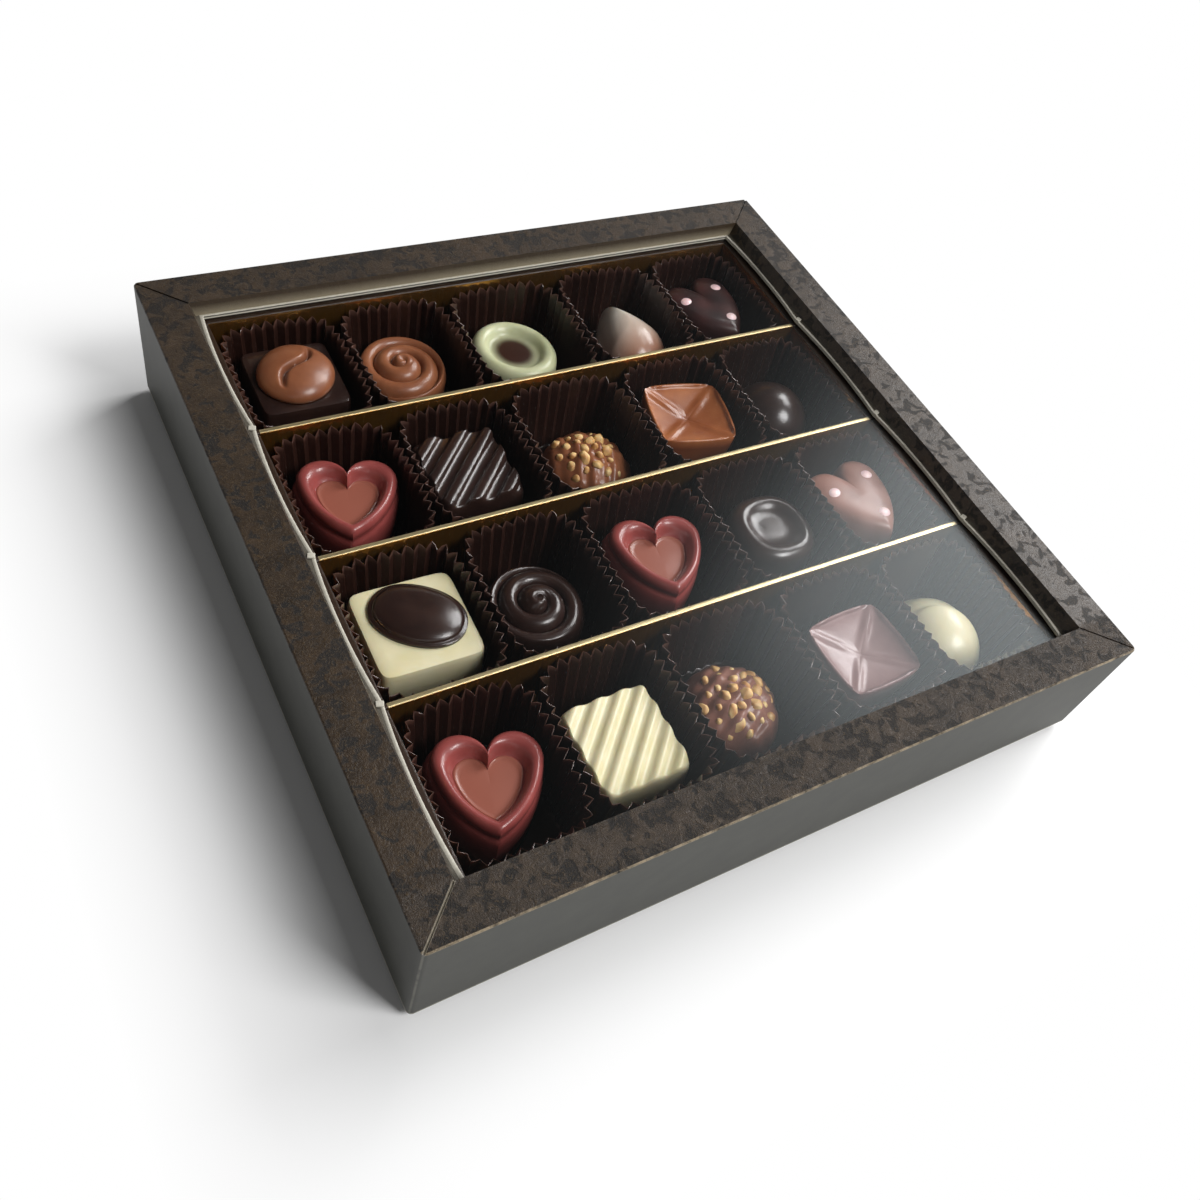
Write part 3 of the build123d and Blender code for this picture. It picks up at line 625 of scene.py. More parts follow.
# %% Ruby hearts
HEART_WIDTH, HEART_LENGTH, HEART_CENTRE = 27.8, 27.6, -1.0
heart_layers = through([
    (0.0, 0.87), (1.4, 0.935), (4.4, 0.985), (8.0, 1.0), (11.2, 0.985), (13.2, 0.945), (13.9, 0.9),
    (14.5, 0.89), (15.4, 0.91), (16.6, 0.91), (17.7, 0.865), (18.2, 0.79), (17.9, 0.71), (17.0, 0.655),
    (16.0, 0.62), (15.2, 0.59), (14.9, 0.57)], 48) + [
    (15.05, 0.55), (15.1, 0.535), (14.95, 0.515), (14.95, 0.45), (15.0, 0.3), (15.05, 0.15), (15.05, 0.04)]
heart_rays = [(atan2(y - HEART_CENTRE, x), hypot(x, y - HEART_CENTRE))
              for x, y in heart_outline(HEART_WIDTH, HEART_LENGTH)]


def heart_depth(across, along):
    """How far out a point lies from the middle, as a share of the outline in that direction."""
    angle = atan2(along - HEART_CENTRE, across)
    nearest = min(heart_rays, key=lambda ray: abs((ray[0] - angle + pi) % (2 * pi) - pi))
    return hypot(across, along - HEART_CENTRE) / nearest[1]


ruby_heart = drawn_disc("ruby_heart", heart_outline(HEART_WIDTH, HEART_LENGTH))
raise_layers(heart_layers, HEART_CENTRE)
close_mould()
smooth(ruby_heart)
colour_by(ruby_heart, lambda x, y, z: 1.0 if 14.8 < z < 15.3 and heart_depth(x, y) < 0.56 else 0.0)
heart_turns = {"r2c1_ruby_heart_back": -16, "r3c3_ruby_heart_middle": -10, "r4c1_ruby_heart_front": -16}
hearts = with_copies(ruby_heart, ["moulded_" + name for name in heart_turns])
for heart, (name, turn) in zip(hearts, heart_turns.items()):
    seat(heart, "sweet_" + name, ruby, turn)
print("ruby hearts:", len(hearts), "with", len(ruby_heart.data.polygons), "faces each")

# %% [markdown]
# The dotted hearts have no sunk middle. Their top swells softly, and three dots of pink chocolate
# were piped on it. The layers are written for a heart 16 millimetres high and stretched to this
# one's height. A dot is a flattened ball, copied twice and joined.

# %% Dotted hearts
DOTTED_WIDTH, DOTTED_LENGTH, STRETCH = 25.7, 28.7, 18.2 / 16
DOT_RADIUS, DOT_LEVEL = 2.5, 15.1
dot_places = [(-7.2, 4.6), (6.8, 5.6), (1.4, -7.4)]
dotted_layers = through([
    (0.0, 0.88), (1.2, 0.94), (4.0, 0.99), (8.0, 1.0), (11.2, 0.992), (13.0, 0.965), (14.2, 0.92),
    (15.0, 0.85), (15.6, 0.72), (15.9, 0.52), (16.0, 0.32), (16.0, 0.15), (16.0, 0.04)], 40)
dotted_heart = drawn_disc("dotted_heart", heart_outline(DOTTED_WIDTH, DOTTED_LENGTH))
raise_layers([(level * STRETCH, size) for level, size in dotted_layers], HEART_CENTRE)
close_mould()
press(dotted_heart, lambda x, y, z: z - 0.5 * exp(-(x / 2.2) ** 2) * max(0, y / 7) if z > 12 else z)
smooth(dotted_heart)
colour_by(dotted_heart, lambda x, y, z: 0.5 + 0.5 * sin(0.55 * x) * sin(0.5 * y + 1))

nothing_selected()
bpy.ops.mesh.primitive_uv_sphere_add(segments=20, ring_count=12, radius=DOT_RADIUS * MM, scale=(1, 0.85, 0.5))
three_dots = with_copies(bpy.context.object, ["pink_dot"] * len(dot_places))
for dot, (across, along) in zip(three_dots, dot_places):
    dot.location = (across * MM, along * MM, DOT_LEVEL * STRETCH * MM)
pick(three_dots[0])
for dot in three_dots[1:]:
    dot.select_set(True)
bpy.ops.object.join()
pink_dots = bpy.context.object
set_in_mesh(pink_dots)
bpy.ops.object.shade_smooth()

dotted = (("r1c5_dotted_dark_heart", 12, plum, "dark_chocolate"),
          ("r3c5_dotted_milk_heart", 8, blush, "milk_chocolate"))
dotted_hearts = with_copies(dotted_heart, ["moulded_" + row[0] for row in dotted])
dot_groups = with_copies(pink_dots, ["pink_dots_" + row[0] for row in dotted])
for heart, dots, (name, turn, finish, slot) in zip(dotted_hearts, dot_groups, dotted):
    companion(dots, pink, seat(heart, "sweet_" + name, finish, turn), turn)
print("dotted hearts:", len(dotted_hearts), "with", len(dot_places), "dots each")

# %% [markdown]
# Rounded squares and ovals are one formula with a squareness: 2 gives an oval, and the higher it is
# the nearer the outline comes to a square.

# %% Round and square outlines
def round_outline(width, length, squareness=2.0, count=96):
    points = []
    for step in range(721):
        angle = 2 * pi * step / 720
        reach = abs(2 * cos(angle) / width) ** squareness + abs(2 * sin(angle) / length) ** squareness
        reach = reach ** (-1 / squareness)
        points.append((reach * cos(angle), reach * sin(angle)))
    return evenly(points, count)[:-1]


def size_of(node):
    """Width, length and height of a plain solid in millimetres."""
    low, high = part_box(node)
    return (high.x - low.x) / MM, (high.y - low.y) / MM, (high.z - low.z) / MM


def rings(first, last, count):
    """Sizes of even rings from one share of the outline to another."""
    return [first + (last - first) * step / (count - 1) for step in range(count)]


print("a swirl's solid measures", [round(side, 1) for side in size_of("sweet_r1c2_milk_swirl")], "mm")

# %% [markdown]
# Two sweets are piped with a star nozzle: a rope of chocolate winds in from the edge and ends in a
# small knob. Its surface is one spiral ridge, so the height of a point depends on how far out it is
# and on its angle together.

# %% Piped swirls
SWIRL_TURNS = 2.6


def spiral_relief(radius, height):
    pitch = radius / SWIRL_TURNS

    def relief(across, along, level):
        if level < 0.35 * height:
            return level
        reach = hypot(across, along)
        phase = (reach / pitch + atan2(along, across) / (2 * pi)) % 1
        ridge = sqrt(max(0, 1 - (2 * phase - 1) ** 2))
        body = height * (0.66 + 0.14 * (1 - reach / radius))
        knob = height * 0.13 * exp(-(reach / (0.2 * radius)) ** 4)
        edge = max(0, (reach / radius - 0.9) / 0.1)
        fade = min(1, reach / (0.25 * radius))
        return (body + ridge * fade * 0.16 * height + knob) * (1 - 0.2 * edge ** 2)

    return relief


for name, turn, finish, slot in (("r1c2_milk_swirl", 20, milk, "milk_chocolate"),
                                 ("r3c2_dark_swirl", 150, dark, "dark_chocolate")):
    width, length, height = size_of("sweet_" + name)
    swirl = drawn_disc("piped_" + name, round_outline(width, length, count=128))
    raise_layers([(0, 0.94), (0.15 * height, 1.0), (0.42 * height, 1.0)]
                 + [(0.5 * height, size) for size in rings(0.985, 0.02, 60)])
    close_mould()
    press(swirl, spiral_relief(width / 2, height))
    smooth(swirl)
    # painted shade: the milk swirl is painted darker towards its foot; the dark finish has no second colour
    colour_by(swirl, lambda x, y, z: max(0, 0.62 - z / height) * 1.6)
    seat(swirl, "sweet_" + name, finish, turn)
    print(swirl.name, len(swirl.data.polygons), "faces")

# %% [markdown]
# The square sweets come from one kind of mould with four sloping sides. One is low and carries a
# coffee bean, one is tall and carries a dark oval, and its left side is painted golden: a painted
# shade warmed by a painted reflection of the gold wall beside it.

# %% Square bases
BLOCK_WIDTH, BLOCK_LENGTH = 25.3, 26.3
TALL_WIDTH, TALL_LENGTH = 27.8, 27.0


def square_body(name, width, length, height, squareness):
    piece = drawn_disc(name, round_outline(width, length, squareness, 120))
    raise_layers(through([(0, 0.985), (0.5, 1.0), (0.45 * height, 0.972), (height - 1.4, 0.942),
                          (height - 0.45, 0.93), (height - 0.08, 0.905), (height, 0.87)], 24)
                 + [(height, 0.7), (height, 0.5), (height, 0.3), (height, 0.05)])
    close_mould()
    smooth(piece)
    return piece


low_height = size_of("sweet_r1c1_bean_block")[2]
low_base = square_body("moulded_r1c1_bean_block", BLOCK_WIDTH, BLOCK_LENGTH, low_height, 12.0)
seat(low_base, "sweet_r1c1_bean_block", dark, -1)
tall_height = size_of("sweet_r3c1_white_block")[2]
tall_base = square_body("moulded_r3c1_white_block", TALL_WIDTH, TALL_LENGTH, tall_height, 11.0)
# painted shade and reflection: the left side below the top takes the golden second colour
colour_by(tall_base, lambda x, y, z: 0.9 * max(0, min(1, (-x - 11.6) / 1.5))
          * max(0, min(1, (tall_height - z) / 5)))
seat(tall_base, "sweet_r3c1_white_block", white, -1)
print("square bases", round(low_height, 1), "and", round(tall_height, 1), "mm high")

# %% [markdown]
# The coffee bean is a dome with the bean's S-shaped crease pressed into it. The crease deepens a
# corner by how near it lies to the S, which keeps its banks round, and it is painted darker: painted
# shade.

# %% The coffee bean
BEAN_WIDTH, BEAN_LENGTH, BEAN_HEIGHT = 20.4, 21.4, 5.6
CREASE_DEPTH = 2.0


def dome_layers(height, count):
    """Layers of a dome that rises steeply at its edge and closes flat."""
    angles = [(pi / 2) * (step + 1) / (count + 0.4) for step in range(count)]
    return [(height * sin(angle), cos(angle)) for angle in angles]


def crease(across, along):
    middle = 1.5 * sin(along / 2.6)
    return exp(-((across - middle) / 0.8) ** 2) * max(0, 1 - (along / 8.8) ** 4)


bean = drawn_disc("coffee_bean", round_outline(BEAN_WIDTH, BEAN_LENGTH, 2.1, 120))
raise_layers([(0.0, 0.97), (0.5, 1.0)]
             + [(0.8 + height * 0.857, size) for height, size in dome_layers(BEAN_HEIGHT, 40)])
close_mould()
press(bean, lambda x, y, z: z - CREASE_DEPTH * crease(x, y) if z > 1.5 else z)
smooth(bean)
# painted shade: the crease is painted darker with the milk's second colour
colour_by(bean, lambda x, y, z: 0.8 * crease(x, y))
seat(bean, "coffee_bean_topping", milk, -41)
print("coffee bean:", len(bean.data.polygons), "faces")

# %% [markdown]
# The dark oval is a shallow glossy dome with a thin flat rim, turned across its block. A faint dent
# in its top breaks the highlight.

# %% The dark oval
OVAL_WIDTH, OVAL_LENGTH, OVAL_HEIGHT = 23.9, 17.6, 3.6
oval = drawn_disc("dark_oval", round_outline(OVAL_WIDTH, OVAL_LENGTH, 2.15, 96))
raise_layers([(0, 0.985), (0.3, 1.0), (0.75, 0.995), (0.95, 0.965), (1.0, 0.93)]
             + [(1.0 + 0.72 * height, 0.91 * size) for height, size in dome_layers(OVAL_HEIGHT, 24)])
close_mould()
press(oval, lambda x, y, z: z - 0.35 * exp(-((x + 1.5) / 5) ** 2 - ((y - 1) / 2.4) ** 2) if z > 2 else z)
smooth(oval)
seat(oval, "dark_oval_topping", dark, -36)
print("dark oval:", len(oval.data.polygons), "faces")

# %% [markdown]
# The ribbed blocks have slanting ribs across the top, rounded on the white one and flat with sharp
# grooves on the dark one. A rib is a wave in the height along the slant, and raising the wave to a
# low power flattens it.

# %% Ribbed blocks
def ribbed_block(name, node, pitch, flatness, depth):
    height = size_of(node)[2]
    piece = drawn_disc(name, round_outline(BLOCK_WIDTH, BLOCK_LENGTH, 10.0, 160))
    raise_layers([(0, 0.985), (0.4, 1.0), (0.5 * height, 0.975), (height - 3.4, 0.95), (height - 2.4, 0.94),
                  (height - 1.2, 0.93), (height - 0.4, 0.915), (height, 0.89)]
                 + [(height, size) for size in rings(0.875, 0.02, 60)])
    close_mould()

    def relief(across, along, level):
        wave = cos(2 * pi * (across - along) / sqrt(2) / pitch)
        rib = copysign(abs(wave) ** flatness, wave)
        share = max(0, min(1, (level - (height - 3.4)) / 3.0))
        return level - depth * (0.5 - 0.5 * rib) * share

    press(piece, relief)
    smooth(piece)
    return piece


dark_ribs = ribbed_block("ribbed_r2c2_dark_block", "sweet_r2c2_ribbed_dark_block", 6.2, 0.3, 1.7)
seat(dark_ribs, "sweet_r2c2_ribbed_dark_block", dark, 0)
white_ribs = ribbed_block("ribbed_r4c2_white_block", "sweet_r4c2_ribbed_white_block", 4.5, 0.85, 1.0)
colour_by(white_ribs, lambda x, y, z: 0.0)
seat(white_ribs, "sweet_r4c2_ribbed_white_block", white, 1)
print("ribbed blocks: 2 with", len(dark_ribs.data.polygons), "faces each")

# %% [markdown]
# The cushions are square with sides that swell. A thin raised rim runs round the top, and inside it
# four scooped facets meet in ridges that run to the corners, like a folded napkin.

# %% Cushions
CUSHION_WIDTH, CUSHION_LENGTH, CUSHION_SWELL = 25.0, 24.0, 0.07


def cushion_outline(width, length, swell):
    points = []
    for across, along in round_outline(width, length, 9.0, 144):
        x, y = 2 * across / width, 2 * along / length
        points.append((across * (1 - swell * y * y), along * (1 - swell * x * x)))
    return points


def scoop_relief(height):
    def relief(across, along, level):
        x, y = 2 * across / CUSHION_WIDTH, 2 * along / CUSHION_LENGTH
        reach = max(abs(x), abs(y))
        if level < height - 1.0 or reach > 0.9:
            return level
        ridge = exp(-(abs(abs(x) - abs(y)) / 0.14) ** 2) * min(1, reach * 2.2)
        return height - 0.8 - 2.6 * (1 - reach / 0.9) ** 0.7 + 0.75 * ridge

    return relief


for name, turn, finish, slot in (("r2c4_copper_cushion", -12, copper, "copper_chocolate"),
                                 ("r4c4_mauve_cushion", 3, mauve, "mauve_chocolate")):
    height = size_of("sweet_" + name)[2]
    cushion = drawn_disc("scooped_" + name, cushion_outline(CUSHION_WIDTH, CUSHION_LENGTH, CUSHION_SWELL))
    raise_layers([(0, 0.8), (0.8, 0.85), (0.45 * height, 0.95), (0.8 * height, 0.995), (height - 0.7, 1.0),
                  (height - 0.15, 0.985), (height, 0.96), (height - 0.1, 0.935), (height - 0.7, 0.915)]
                 + [(height - 0.8, size) for size in rings(0.9, 0.02, 50)])
    close_mould()
    press(cushion, scoop_relief(height))
    smooth(cushion)
    # painted shade and highlight: deeper in the scoops the cushion takes its second colour, darker on the
    # copper, paler on the mauve
    colour_by(cushion, lambda x, y, z: 0.8 * max(0, (height - 1.0 - z) / 3) if z > 0.6 * height else 0.15)
    seat(cushion, "sweet_" + name, finish, turn)
    print(cushion.name, len(cushion.data.polygons), "faces")

# %% [markdown]
# Smooth rounds: a dark dome, a dark drum with a sunk top, and a pale nest with a dark filling. Each
# is one profile, written as heights and sizes, with more layers put in between where it is short.

# %% Smooth rounds
def round_body(name, outline, profile, count=40):
    piece = drawn_disc(name, outline)
    raise_layers(through(profile, count) if count else profile)
    close_mould()
    return piece


dome_width, dome_length, dome_high = size_of("sweet_r2c5_dark_dome")
dome = round_body("smooth_r2c5_dark_dome", round_outline(dome_width, dome_length),
                  [(0, 0.88), (1.5, 0.95), (4.0, 1.0)]
                  + [(4.0 + 0.74 * height, size) for height, size in dome_layers(dome_high, 30)], 0)
smooth(dome)
seat(dome, "sweet_r2c5_dark_dome", dark)

drum_width, drum_length, drum_high = size_of("sweet_r3c4_dark_drum")
drum = round_body("sunk_r3c4_dark_drum", round_outline(drum_width, drum_length, 2.4),
                  [(0, 0.98), (0.5, 1.0), (0.6 * drum_high, 0.98), (drum_high - 2.2, 0.94),
                   (drum_high - 0.8, 0.86), (drum_high - 0.1, 0.76), (drum_high, 0.68),
                   (drum_high - 0.4, 0.6), (drum_high - 1.2, 0.5), (drum_high - 1.6, 0.36),
                   (drum_high - 1.6, 0.15), (drum_high - 1.6, 0.04)])
smooth(drum)
seat(drum, "sweet_r3c4_dark_drum", dark)

NEST_WIDTH, NEST_LENGTH = 24.95, 27.45
nest_high = size_of("sweet_r1c3_pistachio_nest")[2]
nest = round_body("filled_r1c3_pistachio_nest", round_outline(NEST_WIDTH, NEST_LENGTH),
                  [(0, 0.98), (0.5, 1.0), (0.5 * nest_high, 0.99), (nest_high - 2.0, 0.95),
                   (nest_high - 0.6, 0.88), (nest_high, 0.79), (nest_high - 0.2, 0.7),
                   (nest_high - 1.2, 0.62), (nest_high - 2.2, 0.56), (nest_high - 2.4, 0.48),
                   (nest_high - 2.2, 0.3), (nest_high - 2.1, 0.05)])
smooth(nest)
colour_by(nest, lambda x, y, z: 4 * (0.6 - hypot(x / 12.5, y / 13.7)) if z > 0.6 * nest_high else 0)
seat(nest, "sweet_r1c3_pistachio_nest", pistachio, 35)
print("smooth rounds:", round(dome_high, 1), round(drum_high, 1), round(nest_high, 1), "mm high")

# %% [markdown]
# The white bean is a dome whose one side was folded a step above the other, along a curve. The flame
# is a tall drop, drawn from arcs as the hearts are, cream at its point and milk brown at its foot.

# %% The folded bean and the flame
FOLD_WIDTH, FOLD_LENGTH, FOLD_STEP = 24.4, 29.1, 2.4
fold_high = size_of("sweet_r4c5_folded_white_bean")[2]


def folded(across, along, level):
    edge = along - 4.5 + 0.05 * across * across + 0.35 * across
    step = 1 / (1 + exp(edge / 0.3))
    return level - FOLD_STEP * (1 - step) * min(1, max(0, (level - 4) / 5))


folded_bean = round_body("folded_r4c5_white_bean", round_outline(FOLD_WIDTH, FOLD_LENGTH, 2.15),
                         [(0, 0.9), (1.0, 0.95), (3.5, 1.0)]
                         + [(3.5 + 0.77 * height, size) for height, size in dome_layers(fold_high, 40)], 0)
press(folded_bean, folded)
smooth(folded_bean)
colour_by(folded_bean, lambda x, y, z: 0.0)
seat(folded_bean, "sweet_r4c5_folded_white_bean", white, -20)

FLAME_WIDTH, FLAME_LENGTH = 20.95, 30.0
flame_high = size_of("sweet_r1c4_marbled_flame")[2]
flame_line = from_half(FLAME_WIDTH, FLAME_LENGTH, [
    (0, 0.5), (-0.38, 0.08), (-0.5, -0.18), (-0.38, -0.4), (0, -0.5)])
flame_layers = [(0, 0.9), (1.5, 0.96), (4.0, 1.0), (7.0, 0.97), (9.5, 0.9), (11.5, 0.78), (13.0, 0.63),
                (14.0, 0.46), (14.6, 0.3), (14.9, 0.16), (15.0, 0.05)]
flame = round_body("pointed_r1c4_marbled_flame", flame_line,
                   [(level * flame_high / flame_layers[-1][0], size) for level, size in flame_layers])
smooth(flame)
colour_by(flame, lambda x, y, z: 0.85 * (1 - max(0, min(1, (y + 10) / 16))))
seat(flame, "sweet_r1c4_marbled_flame", marbled, 4)
print("folded bean", round(fold_high, 1), "mm high, flame", round(flame_high, 1), "mm high")

# %% [markdown]
# The clusters are lumps of milk chocolate stuck all over with chopped roasted nuts. The lump is a
# dome with shallow bumps, and each nut is a rough chip with few faces, turned and sized at random
# from a fixed seed so that each run gives the same cluster.

# %% Nut clusters
CLUSTER_WIDTH, CLUSTER_LENGTH, CLUSTER_HEIGHT = 25.9, 26.9, 15.2
NUT_MARGIN, CHIPS, CHIP_TURN = 3, 30, 2.4


def lumpy(across, along, level, phase):
    bump = sin(0.75 * across + phase) * sin(0.8 * along + 1.7 * phase)
    bump += 0.5 * sin(1.5 * across - 1.1 * along + phase)
    return level + 0.55 * bump * min(1, level / 5)


def nut_chips(name, width, length, height, seed):
    """Chips on a spiral from the middle of the lump to its edge, joined into one piece."""
    chance = Random(seed)
    nothing_selected()
    chips = []
    for chip in range(CHIPS):
        turn = chip * CHIP_TURN
        reach = 0.86 * sqrt((chip + 0.5) / CHIPS)
        across, along = 0.5 * width * reach * cos(turn), 0.5 * length * reach * sin(turn)
        level = 2.4 + 0.72 * height * sqrt(1 - reach ** 2) + chance.uniform(0.0, 0.5)
        size = chance.uniform(1.6, 2.8)
        bpy.ops.mesh.primitive_ico_sphere_add(
            subdivisions=1, radius=size * MM, location=(across * MM, along * MM, level * MM),
            rotation=(chance.uniform(0, 3), chance.uniform(0, 3), chance.uniform(0, 3)),
            scale=(1, chance.uniform(0.6, 0.9), chance.uniform(0.55, 0.8)))
        chips.append(bpy.context.object)
    for chip in chips:
        chip.select_set(True)
    bpy.context.view_layer.objects.active = chips[0]
    bpy.ops.object.join()
    piece = bpy.context.object
    piece.name = name
    set_in_mesh(piece)
    apply(piece, "BEVEL", width=0.25 * MM, segments=2, limit_method="NONE")
    bpy.ops.object.shade_smooth()
    colour_by(piece, lambda x, y, z: 0.5 + 0.5 * sin(2.1 * x + 1.3 * y))
    return piece


for name, seed, turn, finish in (("r2c3_nut_cluster_back", 3, 20, milk),
                                 ("r4c3_nut_cluster_front", 8, -25, blush)):
    lump = drawn_disc("lump_" + name, round_outline(CLUSTER_WIDTH, CLUSTER_LENGTH, 2.2))
    raise_layers([(0, 0.9), (1.0, 0.96), (3.0, 1.0)]
                 + [(3.0 + 0.72 * height, size) for height, size in dome_layers(CLUSTER_HEIGHT, 30)])
    close_mould()
    press(lump, lambda x, y, z: lumpy(x, y, z, seed))
    smooth(lump)
    colour_by(lump, lambda x, y, z: 0.0)
    moved = seat(lump, "sweet_" + name, finish, turn)
    nuts = nut_chips("nuts_" + name, CLUSTER_WIDTH - NUT_MARGIN, CLUSTER_LENGTH - NUT_MARGIN,
                     CLUSTER_HEIGHT, seed)
    companion(nuts, roasted_nut, moved, turn)
    print(nuts.name, CHIPS, "chips,", len(nuts.data.polygons), "faces")

# %% [markdown]
# The cups were stamped from a stack of flat glassine discs and crimped in one stroke. Their floor is
# flat, the wall stands up in pleats that grow towards the rim, and the rim ends in small points,
# because the pleats pull the disc's edge in and out. Each cup differs a little: the pleats' depth
# wanders and the points lean, by random draws from the cup's own seed.

# %% The pleats of a cup
PLEATS = 40
PLEAT_WAVE = (-1, 0.1, 1, 0.1)       # how far each point of a pleat stands in or out, as a share
RIM_POINT = (-0.9, -0.3, 0.0, -0.3)  # how far below the rim's height it ends, in millimetres


def pleated(width, length, depth, shift, chance):
    """The cup's square outline with its pleats standing in and out of it."""
    count = PLEATS * len(PLEAT_WAVE)
    middle = round_outline(width, length, 5.0, count)
    points = []
    for step, (across, along) in enumerate(middle):
        before, after = middle[step - 1], middle[(step + 1) % count]
        run = hypot(after[0] - before[0], after[1] - before[1])
        out_x, out_y = (after[1] - before[1]) / run, (before[0] - after[0]) / run
        wave = PLEAT_WAVE[step % len(PLEAT_WAVE)] * depth * chance[step // len(PLEAT_WAVE)]
        wave += shift * sin(6 * pi * step / count + 9 * chance[0])
        points.append((across + wave * out_x, along + wave * out_y))
    return points


print("points round a cup:", PLEATS * len(PLEAT_WAVE))

# %% [markdown]
# The floor's outline is extruded ring by ring, and each ring is then drawn onto its own pleated
# outline. The floor gets one face, and the Solidify modifier gives the sheet its thickness.

# %% Crimped cups
PAPER = 0.14
PLEAT_ROOM = 1.7                      # the rim's line lies this much inside its solid's, in all
BASE_IN_X, BASE_IN_Y = 1.0, 5.5       # the base is this much narrower and shorter than the rim
FLOOR_IN = 1.6                        # and the floor than the base


def crimped_cup(name, node, seed):
    width, length, height = size_of(node)
    rim = width - PLEAT_ROOM, length - PLEAT_ROOM
    base = rim[0] - BASE_IN_X, rim[1] - BASE_IN_Y
    draw = Random(seed)
    chance = [draw.uniform(0.7, 1.15) for _ in range(PLEATS)]
    lean = [draw.uniform(-0.5, 0.25) for _ in range(PLEATS)]
    piece = drawn_disc(name, pleated(base[0] - FLOOR_IN, base[1] - FLOOR_IN, 0.05, 0.0, chance))
    ring_count = len(piece.data.vertices)
    levels = [(0.25, -0.8, 0.35), (1.4, -0.4, 0.55), (0.35 * height, -0.3, 0.7), (0.7 * height, -0.3, 0.8),
              (height - 1.0, -0.2, 0.85), (height, -0.2, 0.9)]
    bpy.ops.mesh.delete(type="ONLY_FACE")
    bpy.ops.mesh.select_all(action="SELECT")
    for _ in levels:
        bpy.ops.mesh.extrude_region_move(TRANSFORM_OT_translate={"value": (0, 0, MM)})
    bpy.ops.object.mode_set(mode="OBJECT")
    for ring, (level, inset, depth) in enumerate(levels, start=1):
        share = level / height
        outline = pleated(base[0] + (rim[0] - base[0]) * share + inset,
                          base[1] + (rim[1] - base[1]) * share + inset, depth, 0.12 * share, chance)
        for step, (across, along) in enumerate(outline):
            drop = 0
            if ring == len(levels):
                drop = min(0, lean[step // len(RIM_POINT)] + RIM_POINT[step % len(RIM_POINT)])
            corner = piece.data.vertices[ring * ring_count + step]
            corner.co = (across * MM, along * MM, (level + drop) * MM)
    bpy.ops.object.mode_set(mode="EDIT")
    bpy.ops.mesh.select_all(action="DESELECT")
    bpy.ops.object.mode_set(mode="OBJECT")
    for corner in piece.data.vertices:
        corner.select = corner.index < ring_count
    for edge in piece.data.edges:
        edge.select = all(index < ring_count for index in edge.vertices)
    bpy.ops.object.mode_set(mode="EDIT")
    bpy.ops.mesh.edge_face_add()
    bpy.ops.mesh.select_all(action="SELECT")
    bpy.ops.mesh.normals_make_consistent(inside=False)
    bpy.ops.object.mode_set(mode="OBJECT")
    apply(piece, "SOLIDIFY", thickness=PAPER * MM, offset=0)
    smooth(piece, 30)
    return piece


cup_nodes = sorted(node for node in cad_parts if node.startswith("paper_cup_"))
for seed, cup_node in enumerate(cup_nodes):
    cup = crimped_cup(cup_node.replace("paper_", "crimped_"), cup_node, seed)
    seat(cup, cup_node, cup_paper)
print("cups:", len(cup_nodes), "faces in one:", len(cup.data.polygons))

# %% [markdown]
# The window was die-cut out of the panel, and the cutting rule pushed the board's pale core up into
# a fine burr along the cut. It follows the window: straight in front and behind, and bowed outwards
# between the dividers on the two sides. The core is grey white pulp, dull and a little mottled.

# %% The window's cut edge
WINDOW_X, WINDOW_Y, BOW = 85.5, 85.6, 1.2
BURR_FOOT = PANEL_TOP - 0.3 * MM
pinches = [-WINDOW_Y, -42.7, 0.0, 42.7, WINDOW_Y]
right_side = []
for near, far in zip(pinches, pinches[1:]):
    right_side += arc_points((WINDOW_X, near), (WINDOW_X + BOW, (near + far) / 2), (WINDOW_X, far), 10)
right_side.append((WINDOW_X, WINDOW_Y))
window_line = right_side + [(-across, along) for across, along in reversed(right_side)]

board_core, surface, place = new_finish("pale_board_core")
pulp = add(board_core, "ShaderNodeTexNoise", {"Vector": place, "Scale": per_mm(1.0), "Detail": 4})
fill(board_core, surface, {
    "Base Color": add(board_core, "ShaderNodeMix", {
        0: pulp, 6: colour("a39d8e"), 7: colour("d3cfc2")}, data_type="RGBA"),
    "Roughness": 0.6})

nothing_selected()
bpy.ops.mesh.primitive_circle_add(vertices=len(window_line), radius=MM, fill_type="NOTHING")
cut_burr = bpy.context.object
cut_burr.name = "window_cut_edge"
for corner, (across, along) in zip(cut_burr.data.vertices, window_line):
    corner.co = (across * MM, along * MM, BURR_FOOT)
for out, up in ((0.0, 0.42), (0.12, 0.5), (0.5, 0.52), (0.85, 0.3), (0.85, 0.0), (0.0, 0.0)):
    bpy.ops.object.mode_set(mode="EDIT")
    bpy.ops.mesh.extrude_region_move(TRANSFORM_OT_translate={"value": (0, 0, 0)})
    bpy.ops.object.mode_set(mode="OBJECT")
    newest = cut_burr.data.vertices[len(cut_burr.data.vertices) - len(window_line):]
    grow_x, grow_y = (1 + out / WINDOW_X) * MM, (1 + out / WINDOW_Y) * MM
    for corner, (across, along) in zip(newest, window_line):
        corner.co = (across * grow_x, along * grow_y, BURR_FOOT + up * MM)
bpy.ops.object.mode_set(mode="EDIT")
bpy.ops.mesh.select_all(action="SELECT")
bpy.ops.mesh.remove_doubles(threshold=0.01 * MM)
bpy.ops.mesh.normals_make_consistent(inside=False)
bpy.ops.object.mode_set(mode="OBJECT")
smooth(cut_burr)
cut_burr.data.materials.append(board_core)
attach(cut_burr, "lid")
print("cut edge:", len(cut_burr.data.polygons), "faces")

# %% [markdown]
# Where a divider meets the side, the panel is nipped, and a small tab of the board is folded over
# and stuck down with a drop of glue. One tab is modelled and copied for the six places.

